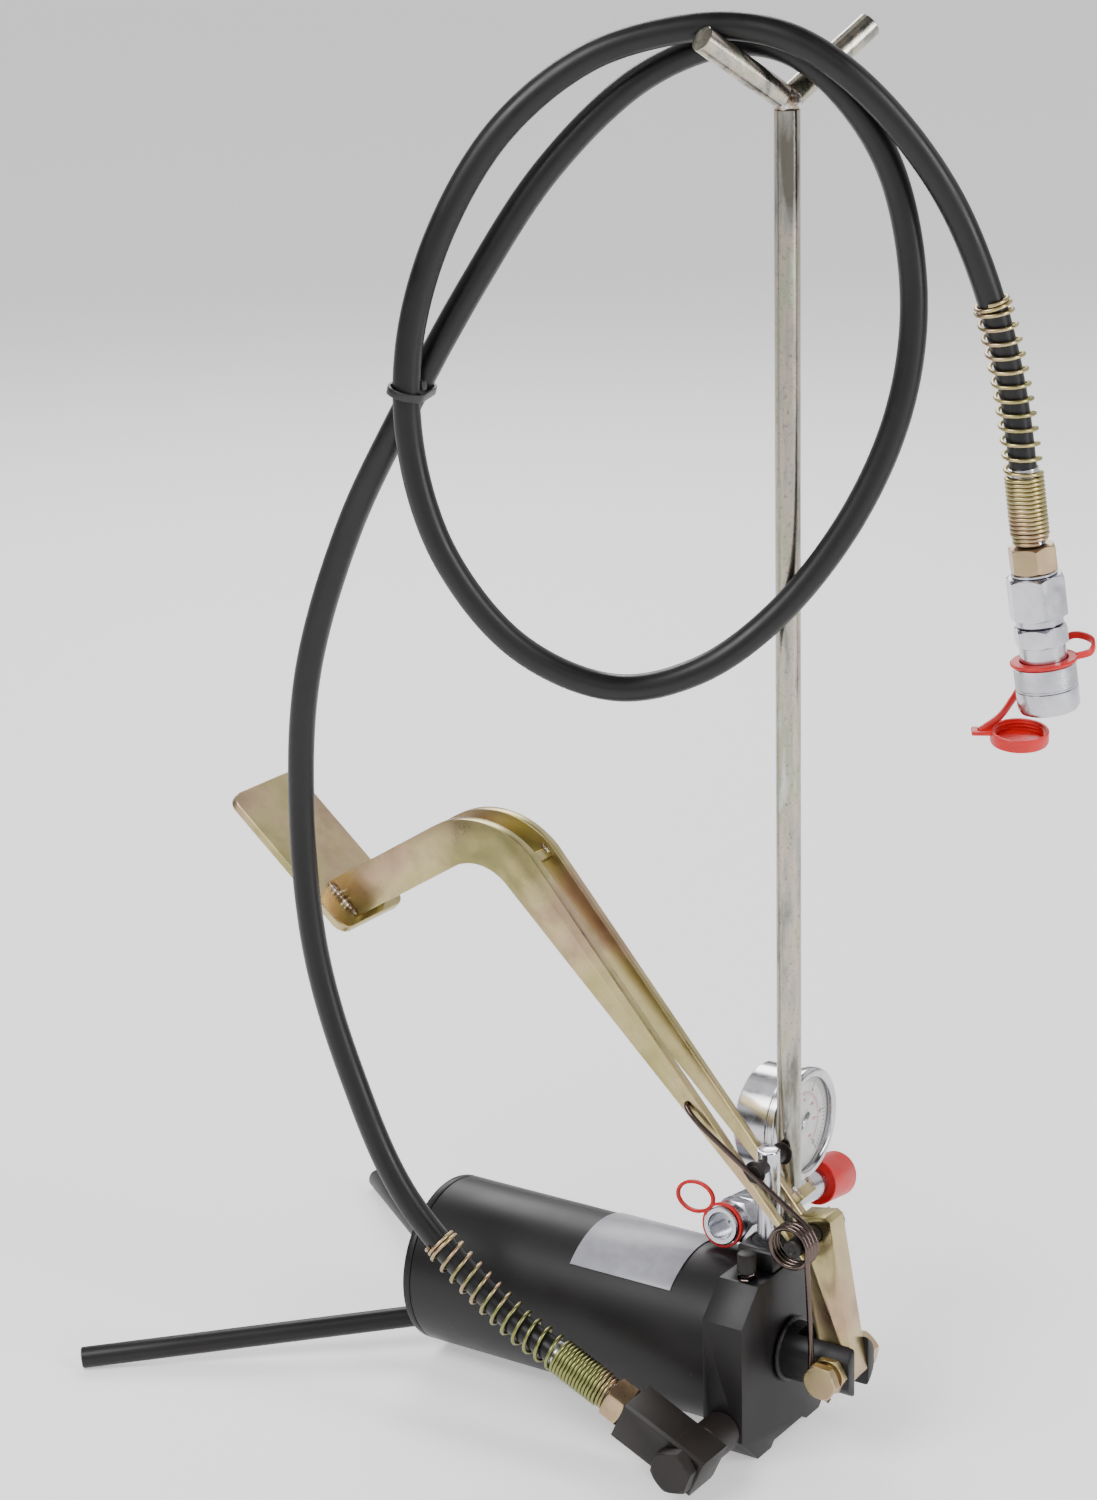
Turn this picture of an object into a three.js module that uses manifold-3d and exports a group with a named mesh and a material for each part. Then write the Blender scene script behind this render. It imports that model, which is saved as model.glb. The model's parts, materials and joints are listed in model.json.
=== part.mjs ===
// Foot-operated hydraulic pump with a hose stand, a pressure gauge and a hose with a quick coupler.
// Millimetres, +Z up. While it is being built, X = 0 is the front face of the pump head, +X points
// to the operator, the reservoir runs towards -X, Y = 0 is the lever's middle plane and Z = 0 the floor.
// The last lines move the finished group so that its origin is the middle of its footprint.
import * as THREE from 'three';
import { mergeVertices } from 'three/addons/utils/BufferGeometryUtils.js';
import Module from 'manifold-3d';

const wasm = await Module();
wasm.setup();

// ------------------------------------------------------------------ driving dimensions

const SEAT_GAP = 0.3; // between pieces that touch
const RUN_GAP = 0.35; // radial, around pins, rods and the plunger
const WIRE_GAP = 0.4; // between a coil spring and what it sits in
const CUT = 1; // how far a cutter runs past a face

// Pump head: an upright block with bevelled corners, standing on two foot pads.
const HEAD_WIDTH = 99;
const HEAD_HEIGHT = 100;
const HEAD_DEPTH = 23.8;
const HEAD_TOP_BEVEL = 17.5;
const HEAD_LOW_BEVEL = 16.4;
const FOOT_PAD_WIDTH = 14;
const FOOT_PAD_HEIGHT = 3;

// Reservoir: a round tank behind the head, closed by a cap.
const TANK_RADIUS = 47.2;
const TANK_WALL = 3.2;
const TANK_LENGTH = 192;
const TANK_AXIS_Z = 50.1;
const CAP_THICKNESS = 4.9;
const CAP_SPIGOT = 8;
const HEAD_SPIGOT = 8;
const SPIGOT_WALL = 5;
const SEAL_WIRE = 1.6;
const FILLER_RADIUS = 6;
const FILLER_HEIGHT = 24;
const LABEL_LENGTH = 63.5;
const LABEL_FROM_HEAD = 30;
const LABEL_ARC = 0.62;
const LABEL_TILT = -0.14;
const LABEL_THICKNESS = 0.4;

// Plunger and valves.
const PLUNGER_RADIUS = 6.2;
const PLUNGER_X = -12;
const PLUNGER_TOP = 163.6;
const PLUNGER_BOTTOM = 50;
const BORE_BOTTOM = 32;
const VALVE_CHAMBER_RADIUS = 4.3;
const SUCTION_BALL_RADIUS = 3.6;
const SUCTION_SEAT_Z = 19;
const SUCTION_PASSAGE_Z = 15;
const DELIVERY_BALL_RADIUS = 2.6;
const DELIVERY_Z = 38;
const DELIVERY_SEAT_Y = -11.6;
const PASSAGE_RADIUS = 2.2;
const VALVE_WIRE = 0.45;
const SEAL_WIDTH = 6;
const SEAL_THICKNESS = 2.6;

// Release valve: a push button with a long stem, on the near side of the plunger.
const RELEASE_X = -11;
const RELEASE_Y = -25;
const RELEASE_STEM_RADIUS = 3;
const RELEASE_STEM_END = 45;
const RELEASE_CAP_RADIUS = 5;
const RELEASE_CAP_HEIGHT = 11;
const RELEASE_TRAVEL = 3;
const RELEASE_POCKET = 10;
const RELEASE_WIRE = 0.5;

// Block on top of the head: plunger guide, rod socket and gauge port.
const BLOCK_FRONT_WALL = 1.7; // in front of the wiper's pocket
const BLOCK_REAR_WALL = 1.2;
const BLOCK_NEAR = -15;
const BLOCK_FAR = 35.5;
const BLOCK_HEIGHT = 11.7;
const BLOCK_BEVEL = 1.5;

// Clevis boss on the front face, and the bolt through it.
const BOSS_RADIUS = 16;
const BOSS_LENGTH = 44;
const BOSS_Z = 51;
const BOSS_WELD = 2.8;
const SLOT_ROOT = 10;
const SPOT_FACE = 14;
const CLEVIS_X = 33.5;
const CLEVIS_BOLT_RADIUS = 6;
const HEX_M12 = 18;
const CLEVIS_NUT_HEIGHT = 4;
const CLEVIS_HEAD_HEIGHT = 5.5;
const CLEVIS_LOCKNUT_HEIGHT = 8;

// Link: a flat tapered bar from the clevis bolt up to the lever.
const LINK_THICKNESS = 14.4;
const LINK_TOP_X = 19.2;
const LINK_TOP_Z = 125.5;
const LINK_LOW_HALF = 9.5;
const LINK_TOP_FRONT = 11.1;
const LINK_TOP_REAR = 10;
const LINK_LOW_END = 8;
const LINK_TOP_END = 9;
const LINK_BEVEL = 2.5;

// Lever: two bent flat bars side by side, a pedal plate across their rear ends.
const BAR_THICKNESS = 5.6;
const BAR_WIDTH = 24.6;
const BAR_BEND_RADIUS = 40.7;
const BAR_HEEL = new THREE.Vector2(25.6, 119.3);
const BAR_BEND = new THREE.Vector2(-180.6, 319.1);
const BAR_TOE = new THREE.Vector2(-277.5, 259.9);
const LINK_PIN_RADIUS = 5;
const LINK_PIN_PAST_COIL = 2.45;
const PLUNGER_PIN_RADIUS = 4;
const PLUNGER_PIN_PLAY = 1.0; // radial, in the bars: it takes up the linkage's sideways error
const CLIP_THICKNESS = 1.2;
const CLIP_WALL = 2.2;
const SPRING_HOLE_RADIUS = 2.3;
const SPRING_HOLE_BACK = 102.2;
const SPRING_HOLE_DROP = 8;
const SPACER_SIZE = 6;
const PEDAL_ANGLE = 0.712; // how far the plate's long edge leans from level, radians
const PEDAL_WIDTH = 58;
const PEDAL_ABOVE = 84;
const PEDAL_BELOW = 17;
const PEDAL_THICKNESS = 5;
const PEDAL_CORNER = 8;

// Return spring on the link pin's near end.
const COIL_WIRE = 1.5;
const COIL_RADIUS = 11.3;
const COIL_TURNS = 4;
const COIL_PITCH = 3.15;
const COIL_SAG = new THREE.Vector2(-3.9, -1.9);

// Stand rod with a fork that carries the hose.
const ROD_RADIUS = 6.5;
const ROD_X = -12.7;
const ROD_Y = 23.2;
const ROD_SOCKET = 25;
const FORK_Z = 706.7;
const FORK_REACH = 50;
const FORK_RISE = 32.5;
const FORK_AZIMUTH = 1.152;
const FORK_KNUCKLE = 8.4;

// Rear legs.
const LEG_RADIUS = 6;
const LEG_REACH = 157.7; // from the end cap back to the leg's foot
const LEG_END_Y = 141;
const LEG_ROOT_Y = 17;
const LEG_ROOT_Z = 21;

// Hose block, banjo bolt and the fittings at the pump end of the hose.
const PORT_X = -12;
const PORT_Z = 21.5;
const BANJO_RADIUS = 7;
const PORT_BORE_DEPTH = 15;
const ADAPTER_RADIUS = 11;
const ADAPTER_LENGTH = 20;
const HOSE_BLOCK_WIDTH = 25;
const HOSE_BLOCK_HEIGHT = 24;
const HOSE_BLOCK_AHEAD = 12;
const HOSE_BLOCK_BEHIND = 40;
const HOSE_BLOCK_BEVEL = 1.6;
const HOSE_BLOCK_RISE = 0.431; // slope of its long axis, radians
const HEX_BANJO = 22;
const BANJO_HEAD_HEIGHT = 8;
const HEX_HOSE = 22;
const HOSE_NUT_LENGTH = 12;
const HOSE_RADIUS = 7;
const GUARD_INNER = 8.2;
const GUARD_WALL = 2;
const GUARD_LENGTH = 128;

// Quick coupler at the free end.
const NUT_LENGTH = 15;
const ADAPTER_HEX = 27;
const ADAPTER_HEX_LENGTH = 26;
const BODY_HEX = 25;
const BODY_HEX_LENGTH = 10;
const COLLAR_RADIUS = 16;
const COLLAR_LENGTH = 25;
const COLLAR_TRAVEL = 5;
const COUPLER_NECK_RADIUS = 10.5;
const COUPLER_BORE_RADIUS = 9;
const SOCKET_DEPTH = 22;
const CAP_RADIUS = 15;
const CAP_DEPTH = 7;
const CAP_WALL = 2;
const EAR_LENGTH = 11;
const EAR_WIDTH = 9;
const STRAP_RADIUS = 1.5;
const STRAP_RING_WALL = 5;
const STRAP_RING_HEIGHT = 2;

// Gauge and the tee that it stands on.
const GAUGE_ROD_GAP = 0.5; // from the front of its bezel to the stand rod
const GAUGE_CASE_RADIUS = 29.5;
const GAUGE_CASE_DEPTH = 25;
const BEZEL_RADIUS = 31.5;
const BEZEL_DEPTH = 7;
const GLASS_RADIUS = 27.5;
const GLASS_THICKNESS = 2;
const DIAL_BACK = 6.5;
const DIAL_THICKNESS = 1;
const NEEDLE_LENGTH = 21;
const NEEDLE_TAIL = 7;
const NEEDLE_THICKNESS = 0.8;
const GAUGE_WALL = 1.6;
const GAUGE_STEM = 51;
const HEX_GAUGE = 14;
const TEE_X = -43.5;
const TEE_NEAR_Y = 2.2;
const TEE_NEAR_Z = 110.6;
const TEE_LEAN = 0.15; // the tee screwed up at an angle: its far end hangs lower
const TEE_HALF = 11;
const TEE_BODY_START = 22;
const TEE_BODY_LENGTH = 44;
const TEE_BRANCH = 49.2;
const TEE_NIPPLE_RADIUS = 9;
const TEE_NIPPLE_LENGTH = 61;
const TEE_CAP_START = 106;
const TEE_CAP_RADIUS = 13;
const TEE_CAP_LENGTH = 27;
const PORT_NIPPLE_RADIUS = 4.4;
const PORT_NIPPLE_Y = 29.6;

// Hose route, chosen by hand: pump end first, then up and around the fork one and a half times.
const HOSE_ROUTE = [
  [-67, -82.5, 47], [-94, -82.5, 59], [-123, -82.5, 72.5], [-186, -86, 128], [-219, -87, 193],
  [-240, -87, 261], [-248, -83, 343], [-240, -82, 415], [-213, -78, 492], [-176, -76, 557],
  [-146, -59, 617], [-114, -37, 674], [-78, -14, 715], [-50, 1, 731], [-29, 12, 735],
  [-8, 20, 730], [13, 28, 713], [34, 41, 675], [44, 48, 614], [40, 43, 558],
  [23, 28, 505], [-8, 6, 455], [-41, -17, 426], [-76, -41, 418], [-116, -66, 439],
  [-148, -83, 485], [-163, -89, 538], [-163, -88, 593], [-148, -79, 649], [-122, -61, 698],
  [-85, -38, 731], [-46, -14, 743], [-22, 0, 743], [0, 8, 737], [22, 18, 722],
  [45, 33, 694], [65, 48, 657], [79, 62, 610], [87, 73, 560], [95, 79, 486],
];
const HOSE_STEPS = 76;
const HOSE_SIDES = 8;
const TIE_GAP = 1.4; // between the tie and the hose's surface
const TIE_WIDTH = 4;
const TIE_THICKNESS = 1.4;

// ------------------------------------------------------------------ colours

const FINISH = {
  blackPaint: ['#17161a', 0.45, 0.2],
  blackOxide: ['#1b191b', 0.5, 0.6],
  yellowZinc: ['#8d8059', 0.4, 0.8],
  paleZinc: ['#9c9a8c', 0.4, 0.85],
  steel: ['#a9abb3', 0.25, 0.95],
  springSteel: ['#3a2c28', 0.3, 0.8],
  rubber: ['#1a1a1c', 0.7, 0],
  redPlastic: ['#c80d0d', 0.45, 0],
  white: ['#e9e9e6', 0.6, 0],
  glass: ['#cfd6dc', 0.05, 0],
  label: ['#8c8c92', 0.4, 0.3],
  brass: ['#b59a4c', 0.35, 0.9],
};

function material(finish) {
  const [color, roughness, metalness] = FINISH[finish];
  return new THREE.MeshStandardMaterial({ color, roughness, metalness });
}

// ------------------------------------------------------------------ solids

const X_AXIS = new THREE.Vector3(1, 0, 0);
const Y_AXIS = new THREE.Vector3(0, 1, 0);
const Z_AXIS = new THREE.Vector3(0, 0, 1);

function signedVolume(position, index) {
  const [a, b, c] = [new THREE.Vector3(), new THREE.Vector3(), new THREE.Vector3()];
  let sum = 0;
  for (let i = 0; i < index.count; i += 3) {
    a.fromBufferAttribute(position, index.getX(i));
    b.fromBufferAttribute(position, index.getX(i + 1));
    c.fromBufferAttribute(position, index.getX(i + 2));
    sum += a.dot(b.cross(c));
  }
  return sum;
}

// A closed three.js geometry as a solid, with its faces turned outwards.
function solid(geometry) {
  const bare = geometry.clone();
  bare.deleteAttribute('normal');
  bare.deleteAttribute('uv');
  const merged = mergeVertices(bare, 1e-4);
  const { position } = merged.attributes;
  const triVerts = new Uint32Array(merged.index.array);
  if (signedVolume(position, merged.index) < 0) {
    for (let i = 0; i < triVerts.length; i += 3) {
      [triVerts[i + 1], triVerts[i + 2]] = [triVerts[i + 2], triVerts[i + 1]];
    }
  }
  const vertProperties = new Float32Array(position.array);
  return new wasm.Manifold(new wasm.Mesh({ numProp: 3, vertProperties, triVerts }));
}

function cut(body, ...tools) {
  return tools.reduce((rest, tool) => rest.subtract(tool), body);
}

function join(...bodies) {
  return bodies.reduce((whole, body) => whole.add(body));
}

function geometryOf(body) {
  const { vertProperties, triVerts } = body.getMesh();
  const geometry = new THREE.BufferGeometry();
  geometry.setAttribute('position', new THREE.BufferAttribute(new Float32Array(vertProperties), 3));
  geometry.setIndex(new THREE.BufferAttribute(new Uint32Array(triVerts), 1));
  geometry.computeVertexNormals();
  return geometry;
}

function box(x0, x1, y0, y1, z0, z1) {
  const geometry = new THREE.BoxGeometry(x1 - x0, y1 - y0, z1 - z0);
  return solid(geometry.translate((x0 + x1) / 2, (y0 + y1) / 2, (z0 + z1) / 2));
}

// Turns a geometry built along +Z so that it starts at origin and runs along direction.
function aim(geometry, origin, direction) {
  const turn = new THREE.Quaternion().setFromUnitVectors(Z_AXIS, direction.clone().normalize());
  return geometry.applyQuaternion(turn).translate(origin.x, origin.y, origin.z);
}

// A turned piece: profile is [radius, height] pairs, outline closed on the axis or on itself.
function turned(profile, origin, direction, sides = 20) {
  const points = profile.map(([radius, height]) => new THREE.Vector2(radius, height));
  const geometry = new THREE.LatheGeometry(points, sides).rotateX(Math.PI / 2);
  return solid(aim(geometry, origin, direction));
}

function rod(radius, from, to, sides = 18) {
  const along = to.clone().sub(from);
  const profile = [[0, 0], [radius, 0], [radius, along.length()], [0, along.length()]];
  return turned(profile, from, along, sides);
}

function pipe(outer, inner, from, to, sides = 18) {
  const length = to.distanceTo(from);
  const profile = [[inner, 0], [outer, 0], [outer, length], [inner, length], [inner, 0]];
  return turned(profile, from, to.clone().sub(from), sides);
}

// A hexagonal bar, flats apart by acrossFlats, with its corners bevelled at both ends.
function hexBar(acrossFlats, from, to, spin = 0) {
  const length = to.distanceTo(from);
  const corner = acrossFlats / Math.sqrt(3);
  const prism = new THREE.CylinderGeometry(corner, corner, length, 6).rotateX(Math.PI / 2);
  prism.rotateZ(spin).translate(0, 0, length / 2);
  const bevel = (corner - acrossFlats / 2) / 2;
  const round = corner - 0.02;
  const profile = [[0, 0], [round - bevel, 0], [round, bevel], [round, length - bevel]];
  profile.push([round - bevel, length], [0, length]);
  const along = to.clone().sub(from);
  return solid(aim(prism, from, along)).intersect(turned(profile, from, along, 18));
}

// A flat outline pushed out along an axis. For 'x' it lies in (Y, Z), for 'y' in (X, Z).
function slab(shape, axis, start, end, curveSegments = 12) {
  const options = { depth: end - start, bevelEnabled: false, curveSegments };
  const geometry = new THREE.ExtrudeGeometry(shape, options);
  const basis = new THREE.Matrix4();
  if (axis === 'x') {
    basis.makeBasis(Y_AXIS, Z_AXIS, X_AXIS);
    geometry.applyMatrix4(basis).translate(start, 0, 0);
  } else {
    basis.makeBasis(X_AXIS, Z_AXIS, Y_AXIS.clone().negate());
    geometry.applyMatrix4(basis).translate(0, end, 0);
  }
  return solid(geometry);
}

function outline(points) {
  return new THREE.Shape(points.map(([x, y]) => new THREE.Vector2(x, y)));
}

function circleShape(radius) {
  return new THREE.Shape().absarc(0, 0, radius, 0, 2 * Math.PI);
}

class Helix extends THREE.Curve {
  constructor(radius, pitch, turns) {
    super();
    Object.assign(this, { radius, pitch, turns });
  }

  getPoint(t, target = new THREE.Vector3()) {
    const angle = t * this.turns * 2 * Math.PI;
    const height = t * this.turns * this.pitch;
    return target.set(this.radius * Math.cos(angle), this.radius * Math.sin(angle), height);
  }
}

// A round wire along a curve; steps and sides set how fine it is.
function wire(curve, radius, steps, sides = 6) {
  const section = circleShape(radius);
  const options = { steps, extrudePath: curve, curveSegments: sides / 2, bevelEnabled: false };
  return new THREE.ExtrudeGeometry(section, options);
}

function coilSpring(radius, wireRadius, turns, from, direction, length) {
  const pitch = (length - 2 * wireRadius) / turns;
  const geometry = wire(new Helix(radius, pitch, turns), wireRadius, Math.round(turns * 7));
  geometry.translate(0, 0, wireRadius);
  return solid(aim(geometry, from, direction));
}

const at = (x, y, z) => new THREE.Vector3(x, y, z);

const group = new THREE.Group();

function add(name, finish, body, parent = group) {
  const mesh = new THREE.Mesh(geometryOf(body), material(finish));
  mesh.name = name;
  parent.add(mesh);
  return mesh;
}

// ------------------------------------------------------------------ pump head

const headHalf = HEAD_WIDTH / 2;
const headTop = HEAD_HEIGHT;
const boreRadius = PLUNGER_RADIUS + RUN_GAP;
const spigotRadius = TANK_RADIUS - TANK_WALL - SEAT_GAP;
const sealSeatRadius = spigotRadius - SEAL_WIRE * 2;
const rodSocketRadius = ROD_RADIUS + SEAT_GAP;
const stemBoreRadius = RELEASE_STEM_RADIUS + RUN_GAP;
const sealPocketRadius = PLUNGER_RADIUS + SEAL_THICKNESS + 2 * SEAT_GAP;
const sealPocketFloor = headTop - SEAL_WIDTH - 2 * SEAT_GAP;
const banjoBoreRadius = BANJO_RADIUS + SEAT_GAP;
const portEndY = -headHalf + PORT_BORE_DEPTH;

function headOutline() {
  const padOuter = headHalf - HEAD_LOW_BEVEL;
  const padInner = padOuter - FOOT_PAD_WIDTH;
  const right = [
    [padInner - FOOT_PAD_HEIGHT, FOOT_PAD_HEIGHT],
    [padInner, 0],
    [padOuter, 0],
    [headHalf, HEAD_LOW_BEVEL],
    [headHalf, headTop - HEAD_TOP_BEVEL],
    [headHalf - HEAD_TOP_BEVEL, headTop],
  ];
  const left = right.map(([y, z]) => [-y, z]).reverse();
  return outline([...right, ...left]);
}

function pumpHead() {
  const block = slab(headOutline(), 'x', -HEAD_DEPTH, 0);
  const spigotEnd = -HEAD_DEPTH - HEAD_SPIGOT;
  const grooveX = (-HEAD_DEPTH + spigotEnd) / 2;
  const axisFrom = at(-HEAD_DEPTH + CUT, 0, TANK_AXIS_Z);
  const axisTo = at(spigotEnd, 0, TANK_AXIS_Z);
  const spigot = pipe(spigotRadius, spigotRadius - SPIGOT_WALL, axisFrom, axisTo, 20);
  const grooveHalf = SEAL_WIRE + SEAT_GAP;
  const groove = pipe(
    spigotRadius + CUT, sealSeatRadius - SEAT_GAP,
    at(grooveX - grooveHalf, 0, TANK_AXIS_Z), at(grooveX + grooveHalf, 0, TANK_AXIS_Z), 20,
  );
  const bore = rod(boreRadius, at(PLUNGER_X, 0, BORE_BOTTOM), at(PLUNGER_X, 0, headTop + CUT), 14);
  const sealPocket = rod(
    sealPocketRadius, at(PLUNGER_X, 0, sealPocketFloor), at(PLUNGER_X, 0, headTop + CUT), 14,
  );
  const suctionChamber = rod(
    VALVE_CHAMBER_RADIUS, at(PLUNGER_X, 0, SUCTION_SEAT_Z), at(PLUNGER_X, 0, BORE_BOTTOM + CUT), 14,
  );
  const suctionDrop = rod(
    PASSAGE_RADIUS, at(PLUNGER_X, 0, SUCTION_PASSAGE_Z), at(PLUNGER_X, 0, SUCTION_SEAT_Z + CUT), 14,
  );
  const suctionPassage = rod(
    PASSAGE_RADIUS, at(-HEAD_DEPTH - CUT, 0, SUCTION_PASSAGE_Z), at(PLUNGER_X, 0, SUCTION_PASSAGE_Z), 14,
  );
  const deliveryPassage = rod(
    PASSAGE_RADIUS / 2, at(PLUNGER_X, 0, DELIVERY_Z), at(PLUNGER_X, RELEASE_Y, DELIVERY_Z), 14,
  );
  const deliveryChamber = rod(
    DELIVERY_BALL_RADIUS + RUN_GAP * 2,
    at(PLUNGER_X, DELIVERY_SEAT_Y, DELIVERY_Z), at(PLUNGER_X, RELEASE_Y, DELIVERY_Z), 14,
  );
  const stemBore = rod(
    stemBoreRadius, at(RELEASE_X, RELEASE_Y, PORT_Z), at(RELEASE_X, RELEASE_Y, headTop + CUT), 14,
  );
  const springPocket = rod(
    RELEASE_CAP_RADIUS, at(RELEASE_X, RELEASE_Y, headTop - RELEASE_POCKET),
    at(RELEASE_X, RELEASE_Y, headTop + CUT), 14,
  );
  const portBore = rod(
    banjoBoreRadius, at(PORT_X, -headHalf - CUT, PORT_Z), at(PORT_X, portEndY, PORT_Z), 14,
  );
  const portPassage = rod(
    PASSAGE_RADIUS, at(PORT_X, portEndY - CUT, PORT_Z), at(PORT_X, RELEASE_Y, PORT_Z), 14,
  );
  const rodSocket = rod(
    rodSocketRadius, at(ROD_X, ROD_Y, headTop - ROD_SOCKET), at(ROD_X, ROD_Y, headTop + CUT), 14,
  );
  return cut(
    join(block, cut(spigot, groove)), bore, sealPocket, suctionChamber, suctionDrop, suctionPassage,
    deliveryPassage, deliveryChamber, stemBore, springPocket, portBore, portPassage, rodSocket,
  );
}

function ringSeal(x, radius, wireRadius) {
  const ring = new THREE.TorusGeometry(radius, wireRadius, 6, 32).rotateY(Math.PI / 2);
  return solid(ring.translate(x, 0, TANK_AXIS_Z));
}

add('pump_head', 'blackPaint', pumpHead());
add(
  'head_seal_ring', 'rubber',
  ringSeal(-HEAD_DEPTH - HEAD_SPIGOT / 2, sealSeatRadius + SEAL_WIRE, SEAL_WIRE),
);

// ------------------------------------------------------------------ reservoir

const tankFront = -HEAD_DEPTH - SEAT_GAP;
const tankRear = tankFront - TANK_LENGTH;
const capFront = tankRear - SEAT_GAP;
const capRear = capFront - CAP_THICKNESS;

function tankTube() {
  const inner = TANK_RADIUS - TANK_WALL;
  return pipe(TANK_RADIUS, inner, at(tankRear, 0, TANK_AXIS_Z), at(tankFront, 0, TANK_AXIS_Z), 32);
}

function tankCap() {
  const edge = 1;
  const profile = [
    [0, 0], [TANK_RADIUS - edge, 0], [TANK_RADIUS, edge], [TANK_RADIUS, CAP_THICKNESS],
    [spigotRadius, CAP_THICKNESS], [spigotRadius, CAP_THICKNESS + CAP_SPIGOT],
    [spigotRadius - SPIGOT_WALL, CAP_THICKNESS + CAP_SPIGOT], [spigotRadius - SPIGOT_WALL, CAP_THICKNESS],
    [0, CAP_THICKNESS],
  ];
  const disc = turned(profile, at(capRear, 0, TANK_AXIS_Z), X_AXIS, 32);
  const z = TANK_AXIS_Z + FILLER_HEIGHT;
  const hole = rod(FILLER_RADIUS + SEAT_GAP, at(capRear - CUT, 0, z), at(capFront + CUT, 0, z), 16);
  return cut(disc, hole);
}

function fillerPlug() {
  const z = TANK_AXIS_Z + FILLER_HEIGHT;
  const headStart = capRear - SEAT_GAP;
  const head = hexBar(FILLER_RADIUS * 3, at(headStart - 6, 0, z), at(headStart, 0, z));
  const thread = rod(FILLER_RADIUS, at(headStart - CUT, 0, z), at(capFront + CUT, 0, z), 16);
  return join(head, thread);
}

// A thin curved plate over the top of the tank, a little to its near side.
function label() {
  const inner = TANK_RADIUS + SEAT_GAP;
  const outer = inner + LABEL_THICKNESS;
  const middle = Math.PI / 2 - LABEL_TILT;
  const shape = new THREE.Shape();
  shape.absarc(0, TANK_AXIS_Z, outer, middle - LABEL_ARC, middle + LABEL_ARC, false);
  shape.absarc(0, TANK_AXIS_Z, inner, middle + LABEL_ARC, middle - LABEL_ARC, true);
  const front = tankFront - LABEL_FROM_HEAD;
  return slab(shape, 'x', front - LABEL_LENGTH, front, 16);
}

// The tube through which oil is drawn from the tank, with its strainer at the rear end.
function intakeStrainer() {
  const tube = PASSAGE_RADIUS + 1.2;
  const strainer = tube + 2;
  const profile = [
    [PASSAGE_RADIUS, 0], [tube, 0], [tube, 30], [strainer, 30.8], [strainer, 56],
    [PASSAGE_RADIUS, 56], [PASSAGE_RADIUS, 0],
  ];
  const start = at(-HEAD_DEPTH - SEAT_GAP, 0, SUCTION_PASSAGE_Z);
  return turned(profile, start, X_AXIS.clone().negate(), 14);
}

add('reservoir_tube', 'blackPaint', tankTube());
add('reservoir_end_cap', 'blackPaint', tankCap());
add('filler_plug', 'blackOxide', fillerPlug());
add('reservoir_label', 'label', label());
add('intake_strainer', 'brass', intakeStrainer());

// ------------------------------------------------------------------ rear legs

function leg(side) {
  const root = at(capRear, side * LEG_ROOT_Y, LEG_ROOT_Z);
  const end = at(capRear - LEG_REACH, side * LEG_END_Y, LEG_RADIUS);
  const past = root.clone().sub(end).setLength(4 * LEG_RADIUS).add(root);
  const ahead = box(
    capRear - SEAT_GAP, capRear + 20 * LEG_RADIUS, -LEG_END_Y, LEG_END_Y, -TANK_AXIS_Z, 2 * TANK_AXIS_Z,
  );
  return cut(rod(LEG_RADIUS, end, past, 20), ahead);
}

add('leg_near', 'blackPaint', leg(-1));
add('leg_far', 'blackPaint', leg(1));

// ------------------------------------------------------------------ block on the head

const blockFloor = headTop + SEAT_GAP;
const blockTop = blockFloor + BLOCK_HEIGHT;
const wiperPocketRadius = PLUNGER_RADIUS + SEAL_THICKNESS + 2 * SEAT_GAP;
const blockFront = PLUNGER_X + wiperPocketRadius + BLOCK_FRONT_WALL;
const blockRear = PLUNGER_X - wiperPocketRadius - BLOCK_REAR_WALL;

function topBlock() {
  const bevelled = new THREE.Shape([
    new THREE.Vector2(BLOCK_NEAR, blockFloor),
    new THREE.Vector2(BLOCK_FAR, blockFloor),
    new THREE.Vector2(BLOCK_FAR, blockTop - BLOCK_BEVEL),
    new THREE.Vector2(BLOCK_FAR - BLOCK_BEVEL, blockTop),
    new THREE.Vector2(BLOCK_NEAR + BLOCK_BEVEL, blockTop),
    new THREE.Vector2(BLOCK_NEAR, blockTop - BLOCK_BEVEL),
  ]);
  const plungerHole = rod(
    boreRadius, at(PLUNGER_X, 0, blockFloor - CUT), at(PLUNGER_X, 0, blockTop + CUT), 24,
  );
  const wiperPocket = rod(
    wiperPocketRadius, at(PLUNGER_X, 0, blockTop - SEAL_WIDTH - 2 * SEAT_GAP),
    at(PLUNGER_X, 0, blockTop + CUT), 24,
  );
  const rodHole = rod(
    rodSocketRadius, at(ROD_X, ROD_Y, blockFloor - CUT), at(ROD_X, ROD_Y, blockTop + CUT), 20,
  );
  return cut(slab(bevelled, 'x', blockRear, blockFront), plungerHole, wiperPocket, rodHole);
}

function plungerRing(top) {
  const inner = PLUNGER_RADIUS + SEAT_GAP;
  const from = at(PLUNGER_X, 0, top - SEAL_WIDTH);
  return pipe(inner + SEAL_THICKNESS, inner, from, at(PLUNGER_X, 0, top), 14);
}

add('top_block', 'blackPaint', topBlock());
add('plunger_seal', 'rubber', plungerRing(headTop - SEAT_GAP));
add('plunger_wiper', 'rubber', plungerRing(blockTop - SEAT_GAP));

// ------------------------------------------------------------------ plunger and valves

const heelToBend = BAR_BEND.clone().sub(BAR_HEEL).normalize();
const barDown = new THREE.Vector2(heelToBend.y, -heelToBend.x).negate();
const pinAlong = (BAR_HEEL.x - PLUNGER_X) / -heelToBend.x;
const PLUNGER_PIN_Z = BAR_HEEL.y + heelToBend.y * pinAlong;
const barInner = Math.max(LINK_THICKNESS / 2, PLUNGER_RADIUS) + WIRE_GAP;
const barOuter = barInner + BAR_THICKNESS;

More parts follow.
